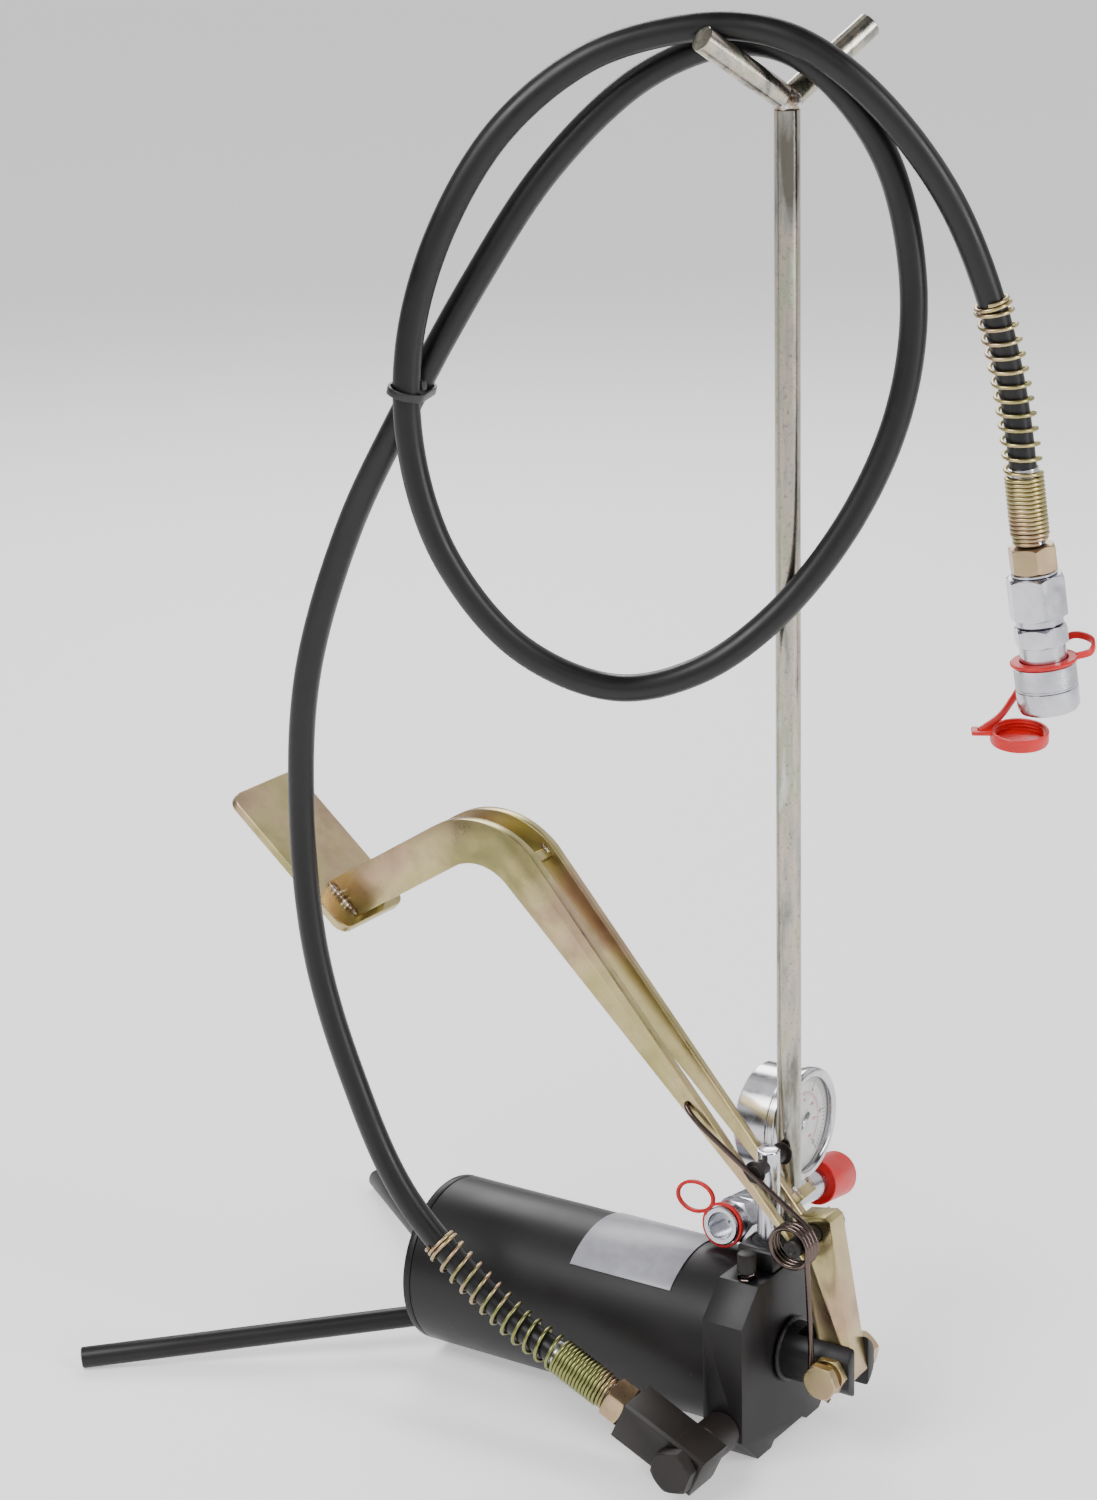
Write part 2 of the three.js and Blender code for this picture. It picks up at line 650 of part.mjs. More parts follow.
function plunger() {
  const dish = 0.8;
  const edge = 0.8;
  const height = PLUNGER_TOP - PLUNGER_BOTTOM;
  const profile = [
    [0, 0], [PLUNGER_RADIUS - edge, 0], [PLUNGER_RADIUS, edge], [PLUNGER_RADIUS, height - edge],
    [PLUNGER_RADIUS - edge, height], [PLUNGER_RADIUS - 2 * edge, height], [0, height - dish],
  ];
  const body = turned(profile, at(PLUNGER_X, 0, PLUNGER_BOTTOM), Z_AXIS, 24);
  const side = PLUNGER_RADIUS + CUT;
  const hole = rod(
    PLUNGER_PIN_RADIUS + SEAT_GAP,
    at(PLUNGER_X, -side, PLUNGER_PIN_Z), at(PLUNGER_X, side, PLUNGER_PIN_Z), 16,
  );
  return cut(body, hole);
}

const clipY = barOuter + WIRE_GAP;
const clipPlaces = [-clipY - CLIP_THICKNESS, clipY];
const clipGroove = 0.8;
const pinEnd = clipY + CLIP_THICKNESS + WIRE_GAP;

// A round pin along Y with a groove for a retaining ring near each end.
function groovedPin(radius, x, z, nearEnd, farEnd, grooveStarts) {
  const pin = rod(radius, at(x, nearEnd, z), at(x, farEnd, z), 14);
  const grooves = grooveStarts.map((y) => pipe(
    radius + CUT, radius - clipGroove,
    at(x, y - SEAT_GAP, z), at(x, y + CLIP_THICKNESS + SEAT_GAP, z), 14,
  ));
  return cut(pin, ...grooves);
}

// An open retaining ring that sits in the groove.
function retainingRing(pinRadius, x, y, z) {
  const inner = pinRadius - clipGroove + SEAT_GAP;
  const ring = pipe(inner + CLIP_WALL, inner, at(x, y, z), at(x, y + CLIP_THICKNESS, z), 14);
  const mouth = inner * 0.6;
  return cut(ring, box(x - mouth, x + mouth, y - CUT, y + CLIP_THICKNESS + CUT, z, z + 3 * pinRadius));
}

// The pin through the plunger's head, with a ring pressed on near each end.
function plungerPin() {
  const pin = rod(
    PLUNGER_PIN_RADIUS, at(PLUNGER_X, -pinEnd, PLUNGER_PIN_Z), at(PLUNGER_X, pinEnd, PLUNGER_PIN_Z),
  );
  const rings = clipPlaces.map((y) => rod(
    PLUNGER_PIN_RADIUS + CLIP_WALL, at(PLUNGER_X, y, PLUNGER_PIN_Z),
    at(PLUNGER_X, y + CLIP_THICKNESS, PLUNGER_PIN_Z),
  ));
  return join(pin, ...rings);
}

add('plunger', 'steel', plunger());
add('plunger_pin', 'blackOxide', plungerPin());

function ball(radius, x, y, z) {
  return solid(new THREE.SphereGeometry(radius, 14, 8).translate(x, y, z));
}

const suctionBallZ = SUCTION_SEAT_Z + SEAT_GAP + SUCTION_BALL_RADIUS;
const suctionSpringStart = suctionBallZ + SUCTION_BALL_RADIUS + SEAT_GAP;
const deliveryBallY = DELIVERY_SEAT_Y - SEAT_GAP - DELIVERY_BALL_RADIUS;
const deliverySpringStart = deliveryBallY - DELIVERY_BALL_RADIUS - SEAT_GAP;
const deliverySpringEnd = RELEASE_Y + stemBoreRadius;

add('suction_ball', 'steel', ball(SUCTION_BALL_RADIUS, PLUNGER_X, 0, suctionBallZ));
add('suction_spring', 'springSteel', coilSpring(
  VALVE_CHAMBER_RADIUS - WIRE_GAP - 2 * VALVE_WIRE, VALVE_WIRE, 3,
  at(PLUNGER_X, 0, suctionSpringStart), Z_AXIS, BORE_BOTTOM - suctionSpringStart,
));
add('delivery_ball', 'steel', ball(DELIVERY_BALL_RADIUS, PLUNGER_X, deliveryBallY, DELIVERY_Z));
add('delivery_spring', 'springSteel', coilSpring(
  DELIVERY_BALL_RADIUS - 2 * VALVE_WIRE, VALVE_WIRE, 2.5,
  at(PLUNGER_X, deliverySpringStart, DELIVERY_Z), Y_AXIS.clone().negate(),
  deliverySpringStart - deliverySpringEnd - SEAT_GAP,
));

// ------------------------------------------------------------------ release valve

const releaseCapFloor = headTop + SEAT_GAP + RELEASE_TRAVEL;

function releaseButton() {
  const edge = 1;
  const top = releaseCapFloor + RELEASE_CAP_HEIGHT;
  const profile = [
    [0, RELEASE_STEM_END], [RELEASE_STEM_RADIUS, RELEASE_STEM_END + RELEASE_STEM_RADIUS],
    [RELEASE_STEM_RADIUS, releaseCapFloor], [RELEASE_CAP_RADIUS - edge / 2, releaseCapFloor],
    [RELEASE_CAP_RADIUS, releaseCapFloor + edge / 2], [RELEASE_CAP_RADIUS, top - edge],
    [RELEASE_CAP_RADIUS - edge, top], [0, top],
  ];
  return turned(profile, at(RELEASE_X, RELEASE_Y, 0), Z_AXIS, 20);
}

const releaseSpringFrom = headTop - RELEASE_POCKET + SEAT_GAP;
const releaseSpringRadius = (RELEASE_STEM_RADIUS + RELEASE_CAP_RADIUS) / 2;

add('release_button', 'blackOxide', releaseButton());
add('release_spring', 'springSteel', coilSpring(
  releaseSpringRadius, RELEASE_WIRE, 5, at(RELEASE_X, RELEASE_Y, releaseSpringFrom), Z_AXIS,
  releaseCapFloor - SEAT_GAP - releaseSpringFrom,
));

// ------------------------------------------------------------------ clevis boss and bolt

const slotHalf = LINK_THICKNESS / 2 + WIRE_GAP;
const boltBoreRadius = CLEVIS_BOLT_RADIUS + SEAT_GAP;

function clevisBoss() {
  const edge = 1;
  const profile = [
    [0, SEAT_GAP], [BOSS_RADIUS + BOSS_WELD, SEAT_GAP], [BOSS_RADIUS + BOSS_WELD * 0.6, BOSS_WELD],
    [BOSS_RADIUS, BOSS_WELD * 1.8], [BOSS_RADIUS, BOSS_LENGTH - edge],
    [BOSS_RADIUS - edge, BOSS_LENGTH], [0, BOSS_LENGTH],
  ];
  const round = turned(profile, at(0, 0, BOSS_Z), X_AXIS, 32);
  const reach = BOSS_RADIUS + BOSS_WELD + CUT;
  const slot = box(SLOT_ROOT, BOSS_LENGTH + CUT, -slotHalf, slotHalf, BOSS_Z - reach, BOSS_Z + reach);
  const bore = rod(boltBoreRadius, at(CLEVIS_X, -reach, BOSS_Z), at(CLEVIS_X, reach, BOSS_Z), 20);
  const flatStart = CLEVIS_X - HEX_M12 / Math.sqrt(3) - SEAT_GAP;
  const flats = [[-reach, -SPOT_FACE], [SPOT_FACE, reach]].map(([y0, y1]) => box(
    flatStart, BOSS_LENGTH + CUT, y0, y1, BOSS_Z - reach, BOSS_Z + reach,
  ));
  return cut(round, slot, bore, ...flats);
}

const nutNearStart = SPOT_FACE + SEAT_GAP;
const nutNearEnd = nutNearStart + CLEVIS_NUT_HEIGHT;
const springLegY = nutNearEnd + SEAT_GAP + COIL_WIRE;
const headStartY = springLegY + COIL_WIRE + SEAT_GAP;
const lockNutEnd = nutNearStart + CLEVIS_LOCKNUT_HEIGHT;

function hexNut(acrossFlats, holeRadius, from, to, spin = 0) {
  const hole = rod(holeRadius, from.clone().lerp(to, -1), to.clone().lerp(from, -1), 20);
  return cut(hexBar(acrossFlats, from, to, spin), hole);
}

function clevisBolt() {
  const headEnd = at(CLEVIS_X, -headStartY - CLEVIS_HEAD_HEIGHT, BOSS_Z);
  const head = hexBar(HEX_M12, headEnd, at(CLEVIS_X, -headStartY, BOSS_Z), 0.2);
  const tail = at(CLEVIS_X, lockNutEnd + 2.5, BOSS_Z);
  const shank = rod(CLEVIS_BOLT_RADIUS, at(CLEVIS_X, -headStartY - CUT, BOSS_Z), tail, 20);
  return join(head, shank);
}

add('clevis_boss', 'blackPaint', clevisBoss());
add('clevis_bolt', 'yellowZinc', clevisBolt());
add('clevis_jam_nut', 'yellowZinc', hexNut(
  HEX_M12, boltBoreRadius, at(CLEVIS_X, -nutNearEnd, BOSS_Z), at(CLEVIS_X, -nutNearStart, BOSS_Z),
));
add('clevis_locknut', 'yellowZinc', hexNut(
  HEX_M12, boltBoreRadius, at(CLEVIS_X, nutNearStart, BOSS_Z), at(CLEVIS_X, lockNutEnd, BOSS_Z),
));

// ------------------------------------------------------------------ link

const linkLow = new THREE.Vector2(CLEVIS_X, BOSS_Z);
const linkTop = new THREE.Vector2(LINK_TOP_X, LINK_TOP_Z);
const linkUp = linkTop.clone().sub(linkLow).normalize();
const linkFront = new THREE.Vector2(linkUp.y, -linkUp.x);

function linkPoint(base, up, front) {
  return base.clone().addScaledVector(linkUp, up).addScaledVector(linkFront, front);
}

function link() {
  const points = [
    linkPoint(linkLow, -LINK_LOW_END, -LINK_LOW_HALF + LINK_BEVEL),
    linkPoint(linkLow, -LINK_LOW_END, LINK_LOW_HALF - LINK_BEVEL),
    linkPoint(linkLow, -LINK_LOW_END + LINK_BEVEL, LINK_LOW_HALF),
    linkPoint(linkTop, LINK_TOP_END - LINK_BEVEL, LINK_TOP_FRONT),
    linkPoint(linkTop, LINK_TOP_END, LINK_TOP_FRONT - LINK_BEVEL),
    linkPoint(linkTop, LINK_TOP_END, -LINK_TOP_REAR + LINK_BEVEL),
    linkPoint(linkTop, LINK_TOP_END - LINK_BEVEL, -LINK_TOP_REAR),
    linkPoint(linkLow, -LINK_LOW_END + LINK_BEVEL, -LINK_LOW_HALF),
  ];
  const half = LINK_THICKNESS / 2;
  const bar = slab(new THREE.Shape(points), 'y', -half, half);
  const side = half + CUT;
  const lowHole = rod(
    CLEVIS_BOLT_RADIUS + RUN_GAP, at(linkLow.x, -side, linkLow.y), at(linkLow.x, side, linkLow.y), 20,
  );
  const topHole = rod(
    LINK_PIN_RADIUS + RUN_GAP, at(linkTop.x, -side, linkTop.y), at(linkTop.x, side, linkTop.y), 20,
  );
  return cut(bar, lowHole, topHole);
}

add('link', 'yellowZinc', link());

// ------------------------------------------------------------------ lever and pedal

const pedalEdge = new THREE.Vector2(Math.cos(PEDAL_ANGLE), -Math.sin(PEDAL_ANGLE));
const pedalNormal = new THREE.Vector2(-pedalEdge.y, pedalEdge.x);
const bendToToe = BAR_TOE.clone().sub(BAR_BEND).normalize();

// The bar's outline: straight, a round bend, straight again, offset to both sides of a centre line.
function barShape() {
  const half = BAR_WIDTH / 2;
  const turn = heelToBend.angleTo(bendToToe);
  const cutBack = BAR_BEND_RADIUS * Math.tan(turn / 2);
  const bendStart = BAR_BEND.clone().addScaledVector(heelToBend, -cutBack);
  const inward = new THREE.Vector2(-heelToBend.y, heelToBend.x);
  const centre = bendStart.clone().addScaledVector(inward, BAR_BEND_RADIUS);
  const startAngle = Math.atan2(-inward.y, -inward.x);
  const toeEnd = BAR_TOE.clone().addScaledVector(bendToToe, BAR_WIDTH);
  const toeSide = new THREE.Vector2(bendToToe.y, -bendToToe.x);
  const shape = new THREE.Shape();
  const start = BAR_HEEL.clone().addScaledVector(inward, -half);
  shape.moveTo(start.x, start.y);
  shape.absarc(centre.x, centre.y, BAR_BEND_RADIUS + half, startAngle, startAngle + turn, false);
  const outerToe = toeEnd.clone().addScaledVector(toeSide, half);
  const innerToe = toeEnd.clone().addScaledVector(toeSide, -half);
  shape.lineTo(outerToe.x, outerToe.y);
  shape.lineTo(innerToe.x, innerToe.y);
  shape.absarc(centre.x, centre.y, BAR_BEND_RADIUS - half, startAngle + turn, startAngle, true);
  const end = BAR_HEEL.clone().addScaledVector(inward, half);
  shape.lineTo(end.x, end.y);
  return shape;
}

// Everything on the far side of the pedal's front face, as a cutter.
function behindPedal(clearance) {
  const reach = 3 * BAR_WIDTH;
  const shape = new THREE.Shape([
    BAR_TOE.clone().addScaledVector(pedalEdge, -reach).addScaledVector(pedalNormal, clearance),
    BAR_TOE.clone().addScaledVector(pedalEdge, reach).addScaledVector(pedalNormal, clearance),
    BAR_TOE.clone().addScaledVector(pedalEdge, reach).addScaledVector(pedalNormal, -reach),
    BAR_TOE.clone().addScaledVector(pedalEdge, -reach).addScaledVector(pedalNormal, -reach),
  ]);
  return slab(shape, 'y', -PEDAL_WIDTH, PEDAL_WIDTH);
}

const springHole = BAR_HEEL.clone()
  .addScaledVector(heelToBend, SPRING_HOLE_BACK)
  .addScaledVector(barDown, SPRING_HOLE_DROP);

function leverBar(side) {
  const [start, end] = side < 0 ? [-barOuter, -barInner] : [barInner, barOuter];
  const bar = slab(barShape(), 'y', start, end, 14);
  const holes = [
    [LINK_PIN_RADIUS + SEAT_GAP, LINK_TOP_X, LINK_TOP_Z],
    [PLUNGER_PIN_RADIUS + PLUNGER_PIN_PLAY, PLUNGER_X, PLUNGER_PIN_Z],
  ];
  if (side < 0) holes.push([SPRING_HOLE_RADIUS, springHole.x, springHole.y]);
  const tools = holes.map(([radius, x, z]) => rod(radius, at(x, start - CUT, z), at(x, end + CUT, z), 20));
  return cut(bar, behindPedal(SEAT_GAP), ...tools);
}

// A square bar across the gap between the two lever bars.
function spacer(along, up) {
  const middle = BAR_HEEL.clone().addScaledVector(heelToBend, along).addScaledVector(barDown, -up);
  const geometry = new THREE.BoxGeometry(SPACER_SIZE, 2 * (barInner - SEAT_GAP), SPACER_SIZE);
  geometry.rotateY(-Math.atan2(heelToBend.y, heelToBend.x));
  return solid(geometry.translate(middle.x, 0, middle.y));
}

function pedalPlate() {
  const half = PEDAL_WIDTH / 2;
  const corner = PEDAL_CORNER;
  const shape = new THREE.Shape();
  shape.moveTo(-PEDAL_ABOVE + corner, -half);
  shape.absarc(PEDAL_BELOW - corner, -half + corner, corner, -Math.PI / 2, 0);
  shape.absarc(PEDAL_BELOW - corner, half - corner, corner, 0, Math.PI / 2);
  shape.absarc(-PEDAL_ABOVE + corner, half - corner, corner, Math.PI / 2, Math.PI);
  shape.absarc(-PEDAL_ABOVE + corner, -half + corner, corner, Math.PI, 1.5 * Math.PI);
  const edge = 0.6;
  const options = {
    depth: PEDAL_THICKNESS - 2 * edge, bevelEnabled: true, bevelSize: edge, bevelThickness: edge,
    bevelOffset: -edge, bevelSegments: 1, curveSegments: 6,
  };
  const geometry = new THREE.ExtrudeGeometry(shape, options).translate(0, 0, -PEDAL_THICKNESS + edge);
  const along = at(pedalEdge.x, 0, pedalEdge.y);
  const normal = at(pedalNormal.x, 0, pedalNormal.y);
  const basis = new THREE.Matrix4().makeBasis(along, normal.clone().cross(along), normal);
  return solid(geometry.applyMatrix4(basis).translate(BAR_TOE.x, 0, BAR_TOE.y));
}

const cutBackLength = BAR_BEND_RADIUS * Math.tan(heelToBend.angleTo(bendToToe) / 2);
const bendSpacerAlong = BAR_BEND.distanceTo(BAR_HEEL) - cutBackLength;

add('lever_bar_near', 'yellowZinc', leverBar(-1));
add('lever_bar_far', 'yellowZinc', leverBar(1));
add('lever_spacer_heel', 'yellowZinc', spacer(29, 6));
add('lever_spacer_bend', 'yellowZinc', spacer(bendSpacerAlong, 6));
add('pedal_plate', 'yellowZinc', pedalPlate());

// ------------------------------------------------------------------ return spring

const coilCentre = new THREE.Vector2(LINK_TOP_X, LINK_TOP_Z).add(COIL_SAG);
const coilFarY = -pinEnd - WIRE_GAP - COIL_WIRE;
const coilStartAngle = 1.0; // where the upper leg leaves the coil on a tangent
const windings = COIL_TURNS - 1 + coilStartAngle / (2 * Math.PI);
const coilNearY = coilFarY - COIL_PITCH * windings;
const linkPinNear = coilNearY - COIL_WIRE - LINK_PIN_PAST_COIL;

add('link_pin', 'blackOxide', groovedPin(
  LINK_PIN_RADIUS, LINK_TOP_X, LINK_TOP_Z, linkPinNear, pinEnd, [clipPlaces[1]],
));
add('link_pin_clip', 'blackOxide', retainingRing(LINK_PIN_RADIUS, LINK_TOP_X, clipPlaces[1], LINK_TOP_Z));

// The upper leg, the coil and the lower leg, as one list of points on the middle of the wire.
function springPoints() {
  const points = [
    at(springHole.x, -barOuter + 3, springHole.y),
    at(springHole.x, -barOuter - COIL_WIRE, springHole.y),
    at(springHole.x + 5, coilFarY + 0.6, springHole.y - 4.5),
    at(springHole.x + 14, coilFarY, springHole.y - 11),
  ];
  const steps = Math.round(windings * 14);
  for (let i = 0; i <= steps; i += 1) {
    const angle = coilStartAngle - (2 * Math.PI * windings * i) / steps;
    const y = coilFarY - (COIL_PITCH * windings * i) / steps;
    const x = coilCentre.x + COIL_RADIUS * Math.cos(angle);
    points.push(at(x, y, coilCentre.y + COIL_RADIUS * Math.sin(angle)));
  }
  return points;
}

function returnSpring() {
  const points = springPoints();
  const last = points[points.length - 1];
  const besideBolt = CLEVIS_X - CLEVIS_BOLT_RADIUS - COIL_WIRE - 1.2;
  points.push(at(last.x, last.y, last.z - 8));
  points.push(at(besideBolt + 1, (last.y - springLegY) / 2, BOSS_Z + 38));
  points.push(at(besideBolt, -springLegY, BOSS_Z + 14));
  points.push(at(besideBolt, -springLegY, BOSS_Z));
  points.push(at(besideBolt + 2.6, -springLegY, BOSS_Z - 8.2));
  points.push(at(CLEVIS_X + 2.6, -springLegY, BOSS_Z - 12.8));
  const curve = new THREE.CatmullRomCurve3(points, false, 'centripetal');
  return solid(wire(curve, COIL_WIRE, 92, 6));
}

add('return_spring', 'springSteel', returnSpring());

// ------------------------------------------------------------------ stand rod and fork

function forkStub(side) {
  const reach = at(
    side * FORK_REACH * Math.cos(FORK_AZIMUTH), side * FORK_REACH * Math.sin(FORK_AZIMUTH), FORK_RISE,
  );
  const centre = at(ROD_X, ROD_Y, FORK_Z);
  const start = reach.clone().setLength(FORK_KNUCKLE + SEAT_GAP).add(centre);
  return rod(ROD_RADIUS, start, centre.clone().add(reach), 20);
}

// The lump of weld that joins both stubs to the rod.
function forkKnuckle() {
  const knuckle = new THREE.SphereGeometry(FORK_KNUCKLE, 14, 8).rotateX(Math.PI / 2);
  return solid(knuckle.translate(ROD_X, ROD_Y, FORK_Z));
}

add('stand_rod', 'paleZinc', rod(
  ROD_RADIUS, at(ROD_X, ROD_Y, headTop - ROD_SOCKET + SEAT_GAP),
  at(ROD_X, ROD_Y, FORK_Z - FORK_KNUCKLE - SEAT_GAP), 20,
));
add('fork_knuckle', 'paleZinc', forkKnuckle());
add('fork_stub_near', 'paleZinc', forkStub(-1));
add('fork_stub_far', 'paleZinc', forkStub(1));

// ------------------------------------------------------------------ hose block and pump-end fittings

const adapterEnd = -headHalf - SEAT_GAP - ADAPTER_LENGTH;
const hoseBlockFar = adapterEnd - SEAT_GAP;
const hoseBlockNear = hoseBlockFar - HOSE_BLOCK_WIDTH;
const hoseAxisY = (hoseBlockFar + hoseBlockNear) / 2;
const hoseAxis = at(-Math.cos(HOSE_BLOCK_RISE), 0, Math.sin(HOSE_BLOCK_RISE));

function onHoseAxis(distance) {
  return at(PORT_X, hoseAxisY, PORT_Z).addScaledVector(hoseAxis, distance);
}

function hoseBlock() {
  const half = HOSE_BLOCK_WIDTH / 2;
  const high = HOSE_BLOCK_HEIGHT / 2;
  const b = HOSE_BLOCK_BEVEL;
  const section = outline([
    [-half + b, -high], [half - b, -high], [half, -high + b], [half, high - b],
    [half - b, high], [-half + b, high], [-half, high - b], [-half, -high + b],
  ]);
  const length = HOSE_BLOCK_AHEAD + HOSE_BLOCK_BEHIND;
  const geometry = new THREE.ExtrudeGeometry(section, { depth: length, bevelEnabled: false });
  const side = Y_AXIS.clone();
  const basis = new THREE.Matrix4().makeBasis(side, hoseAxis.clone().cross(side), hoseAxis);
  const start = onHoseAxis(-HOSE_BLOCK_AHEAD);
  const block = solid(geometry.applyMatrix4(basis).translate(start.x, start.y, start.z));
  const crossBore = rod(
    banjoBoreRadius, at(PORT_X, hoseBlockNear - CUT, PORT_Z), at(PORT_X, hoseBlockFar + CUT, PORT_Z), 20,
  );
  const hoseBore = rod(PASSAGE_RADIUS, onHoseAxis(0), onHoseAxis(HOSE_BLOCK_BEHIND + CUT), 16);
  return cut(block, crossBore, hoseBore);
}

function banjoBolt() {
  const seat = hoseBlockNear - SEAT_GAP;
  const headStart = at(PORT_X, seat - BANJO_HEAD_HEIGHT, PORT_Z);
  const head = hexBar(HEX_BANJO, headStart, at(PORT_X, seat, PORT_Z), 0.35);
  const shank = rod(
    BANJO_RADIUS, at(PORT_X, seat - CUT, PORT_Z), at(PORT_X, portEndY - SEAT_GAP, PORT_Z), 20,
  );
  return join(head, shank);
}

add('port_adapter', 'blackOxide', pipe(
  ADAPTER_RADIUS, banjoBoreRadius,
  at(PORT_X, adapterEnd, PORT_Z), at(PORT_X, -headHalf - SEAT_GAP, PORT_Z), 24,
));
add('hose_block', 'blackOxide', hoseBlock());
add('banjo_bolt', 'blackOxide', banjoBolt());

const nutStart = HOSE_BLOCK_BEHIND + SEAT_GAP;
const hoseFrom = nutStart + HOSE_NUT_LENGTH + SEAT_GAP;

add('hose_nut_pump', 'yellowZinc', hexBar(
  HEX_HOSE, onHoseAxis(nutStart), onHoseAxis(nutStart + HOSE_NUT_LENGTH),
));

// ------------------------------------------------------------------ hose

const routePoints = HOSE_ROUTE.map(([x, y, z]) => at(x, y, z));
const hoseStart = onHoseAxis(hoseFrom);
routePoints[0] = hoseStart;
const hoseCurve = new THREE.CatmullRomCurve3(routePoints, false, 'centripetal');
hoseCurve.arcLengthDivisions = 800;
const hoseLength = hoseCurve.getLength();

class Stretch extends THREE.Curve {
  constructor(whole, from, to) {
    super();
    Object.assign(this, { whole, from, to });
  }

  getPoint(t, target = new THREE.Vector3()) {
    const u = this.from + (this.to - this.from) * t;
    return this.whole.getPointAt(Math.min(Math.max(u, 0), 1), target);
  }
}

// A sleeve that follows a stretch of the hose, open at both ends.
function sleeve(from, to, inner, outer, steps) {
  const ring = circleShape(outer);
  ring.holes.push(new THREE.Path().absarc(0, 0, inner, 0, 2 * Math.PI, true));
  const curve = new Stretch(hoseCurve, from / hoseLength, to / hoseLength);
  return solid(new THREE.ExtrudeGeometry(ring, { steps, extrudePath: curve, curveSegments: 5 }));
}

function hose() {
  const curve = new Stretch(hoseCurve, 0, 1);
  return solid(wire(curve, HOSE_RADIUS, HOSE_STEPS, HOSE_SIDES));
}

add('hose', 'rubber', hose());
const guardOuter = GUARD_INNER + GUARD_WALL;
const guardSpan = (from, to) => sleeve(from, to, GUARD_INNER, guardOuter, 8);
add('guard_spring_pump', 'yellowZinc', guardSpan(SEAT_GAP, GUARD_LENGTH));
add('guard_spring_free', 'yellowZinc', guardSpan(hoseLength - GUARD_LENGTH, hoseLength - SEAT_GAP));

// Where the strand that rises from the pump comes closest to the loop that hangs from the fork.
function strandCrossing() {
  let best = null;
  for (let i = 0; i <= 60; i += 1) {
    const rising = 0.2 + (0.15 * i) / 60;
    for (let j = 0; j <= 60; j += 1) {
      const loop = 0.62 + (0.16 * j) / 60;
      const gap = hoseCurve.getPointAt(rising).distanceTo(hoseCurve.getPointAt(loop));
      if (!best || gap < best.gap) best = { gap, rising, loop };
    }
  }
  return best;
}

// The tie holds both strands where they cross: a flat band around them.
function cableTie() {
  const crossing = strandCrossing();
  const here = hoseCurve.getPointAt(crossing.rising);
  const other = hoseCurve.getPointAt(crossing.loop);
  const across = other.clone().sub(here);
  const half = across.length() / 2;
  const along = hoseCurve.getTangentAt(crossing.rising).add(hoseCurve.getTangentAt(crossing.loop));
  const clear = HOSE_RADIUS + TIE_GAP;
  const loop = (radius, clockwise, path) => {
    path.absarc(half, 0, radius, -Math.PI / 2, Math.PI / 2, clockwise);
    path.absarc(-half, 0, radius, Math.PI / 2, 1.5 * Math.PI, clockwise);
    return path;
  };
  const shape = loop(clear + TIE_THICKNESS, false, new THREE.Shape());
  shape.holes.push(loop(clear, false, new THREE.Path()));
  const options = { depth: TIE_WIDTH, bevelEnabled: false, curveSegments: 8 };
  const geometry = new THREE.ExtrudeGeometry(shape, options);
  geometry.translate(0, 0, -TIE_WIDTH / 2);
  const x = across.clone().normalize();
  const z = along.clone().addScaledVector(x, -along.dot(x)).normalize();
  const basis = new THREE.Matrix4().makeBasis(x, z.clone().cross(x), z);
  const middle = here.clone().add(other).multiplyScalar(0.5);
  return solid(geometry.applyMatrix4(basis).translate(middle.x, middle.y, middle.z));
}

add('cable_tie', 'rubber', cableTie());

// ------------------------------------------------------------------ quick coupler at the free end

const endPoint = hoseCurve.getPointAt(1);
const endAxis = hoseCurve.getTangentAt(1);
const coupler = new THREE.Group();
coupler.position.copy(endPoint);
coupler.quaternion.setFromUnitVectors(Z_AXIS, endAxis);
group.add(coupler);

const nutFrom = SEAT_GAP;
const adapterFrom = nutFrom + NUT_LENGTH + SEAT_GAP;
const bodyFrom = adapterFrom + ADAPTER_HEX_LENGTH + SEAT_GAP;
const collarFrom = bodyFrom + BODY_HEX_LENGTH + 5 + COLLAR_TRAVEL;
const collarEnd = collarFrom + COLLAR_LENGTH;

function adapter() {
  const hex = hexBar(ADAPTER_HEX, at(0, 0, adapterFrom), at(0, 0, adapterFrom + ADAPTER_HEX_LENGTH - 4));
  const neckFrom = at(0, 0, adapterFrom + 20);
  const neck = rod(ADAPTER_HEX / 2 - 1, neckFrom, at(0, 0, adapterFrom + ADAPTER_HEX_LENGTH), 20);
  return join(hex, neck);
}

function couplerBody() {
  const hex = hexBar(BODY_HEX, at(0, 0, bodyFrom), at(0, 0, bodyFrom + BODY_HEX_LENGTH));
  const neck = rod(COUPLER_NECK_RADIUS + 1.5, at(0, 0, bodyFrom + CUT), at(0, 0, collarEnd - 1), 24);
  const socketFrom = at(0, 0, collarEnd - SOCKET_DEPTH);
  const socket = rod(COUPLER_BORE_RADIUS, socketFrom, at(0, 0, collarEnd + CUT), 20);
  return cut(join(hex, neck), socket);
}

function collar() {
  const inner = COUPLER_NECK_RADIUS + 1.5 + RUN_GAP;
  const edge = 1;
  const profile = [
    [inner, 0], [COLLAR_RADIUS - edge, 0], [COLLAR_RADIUS, edge], [COLLAR_RADIUS, COLLAR_LENGTH - 2 * edge],
    [COLLAR_RADIUS - 2 * edge, COLLAR_LENGTH], [inner, COLLAR_LENGTH], [inner, 0],
  ];
  return turned(profile, at(0, 0, collarFrom), Z_AXIS, 40);
}

const freeNut = hexBar(HEX_HOSE, at(0, 0, nutFrom), at(0, 0, nutFrom + NUT_LENGTH));
add('hose_nut_free', 'yellowZinc', freeNut, coupler);
add('coupler_adapter', 'steel', adapter(), coupler);
add('coupler_body', 'steel', couplerBody(), coupler);
add('coupler_collar', 'steel', collar(), coupler);

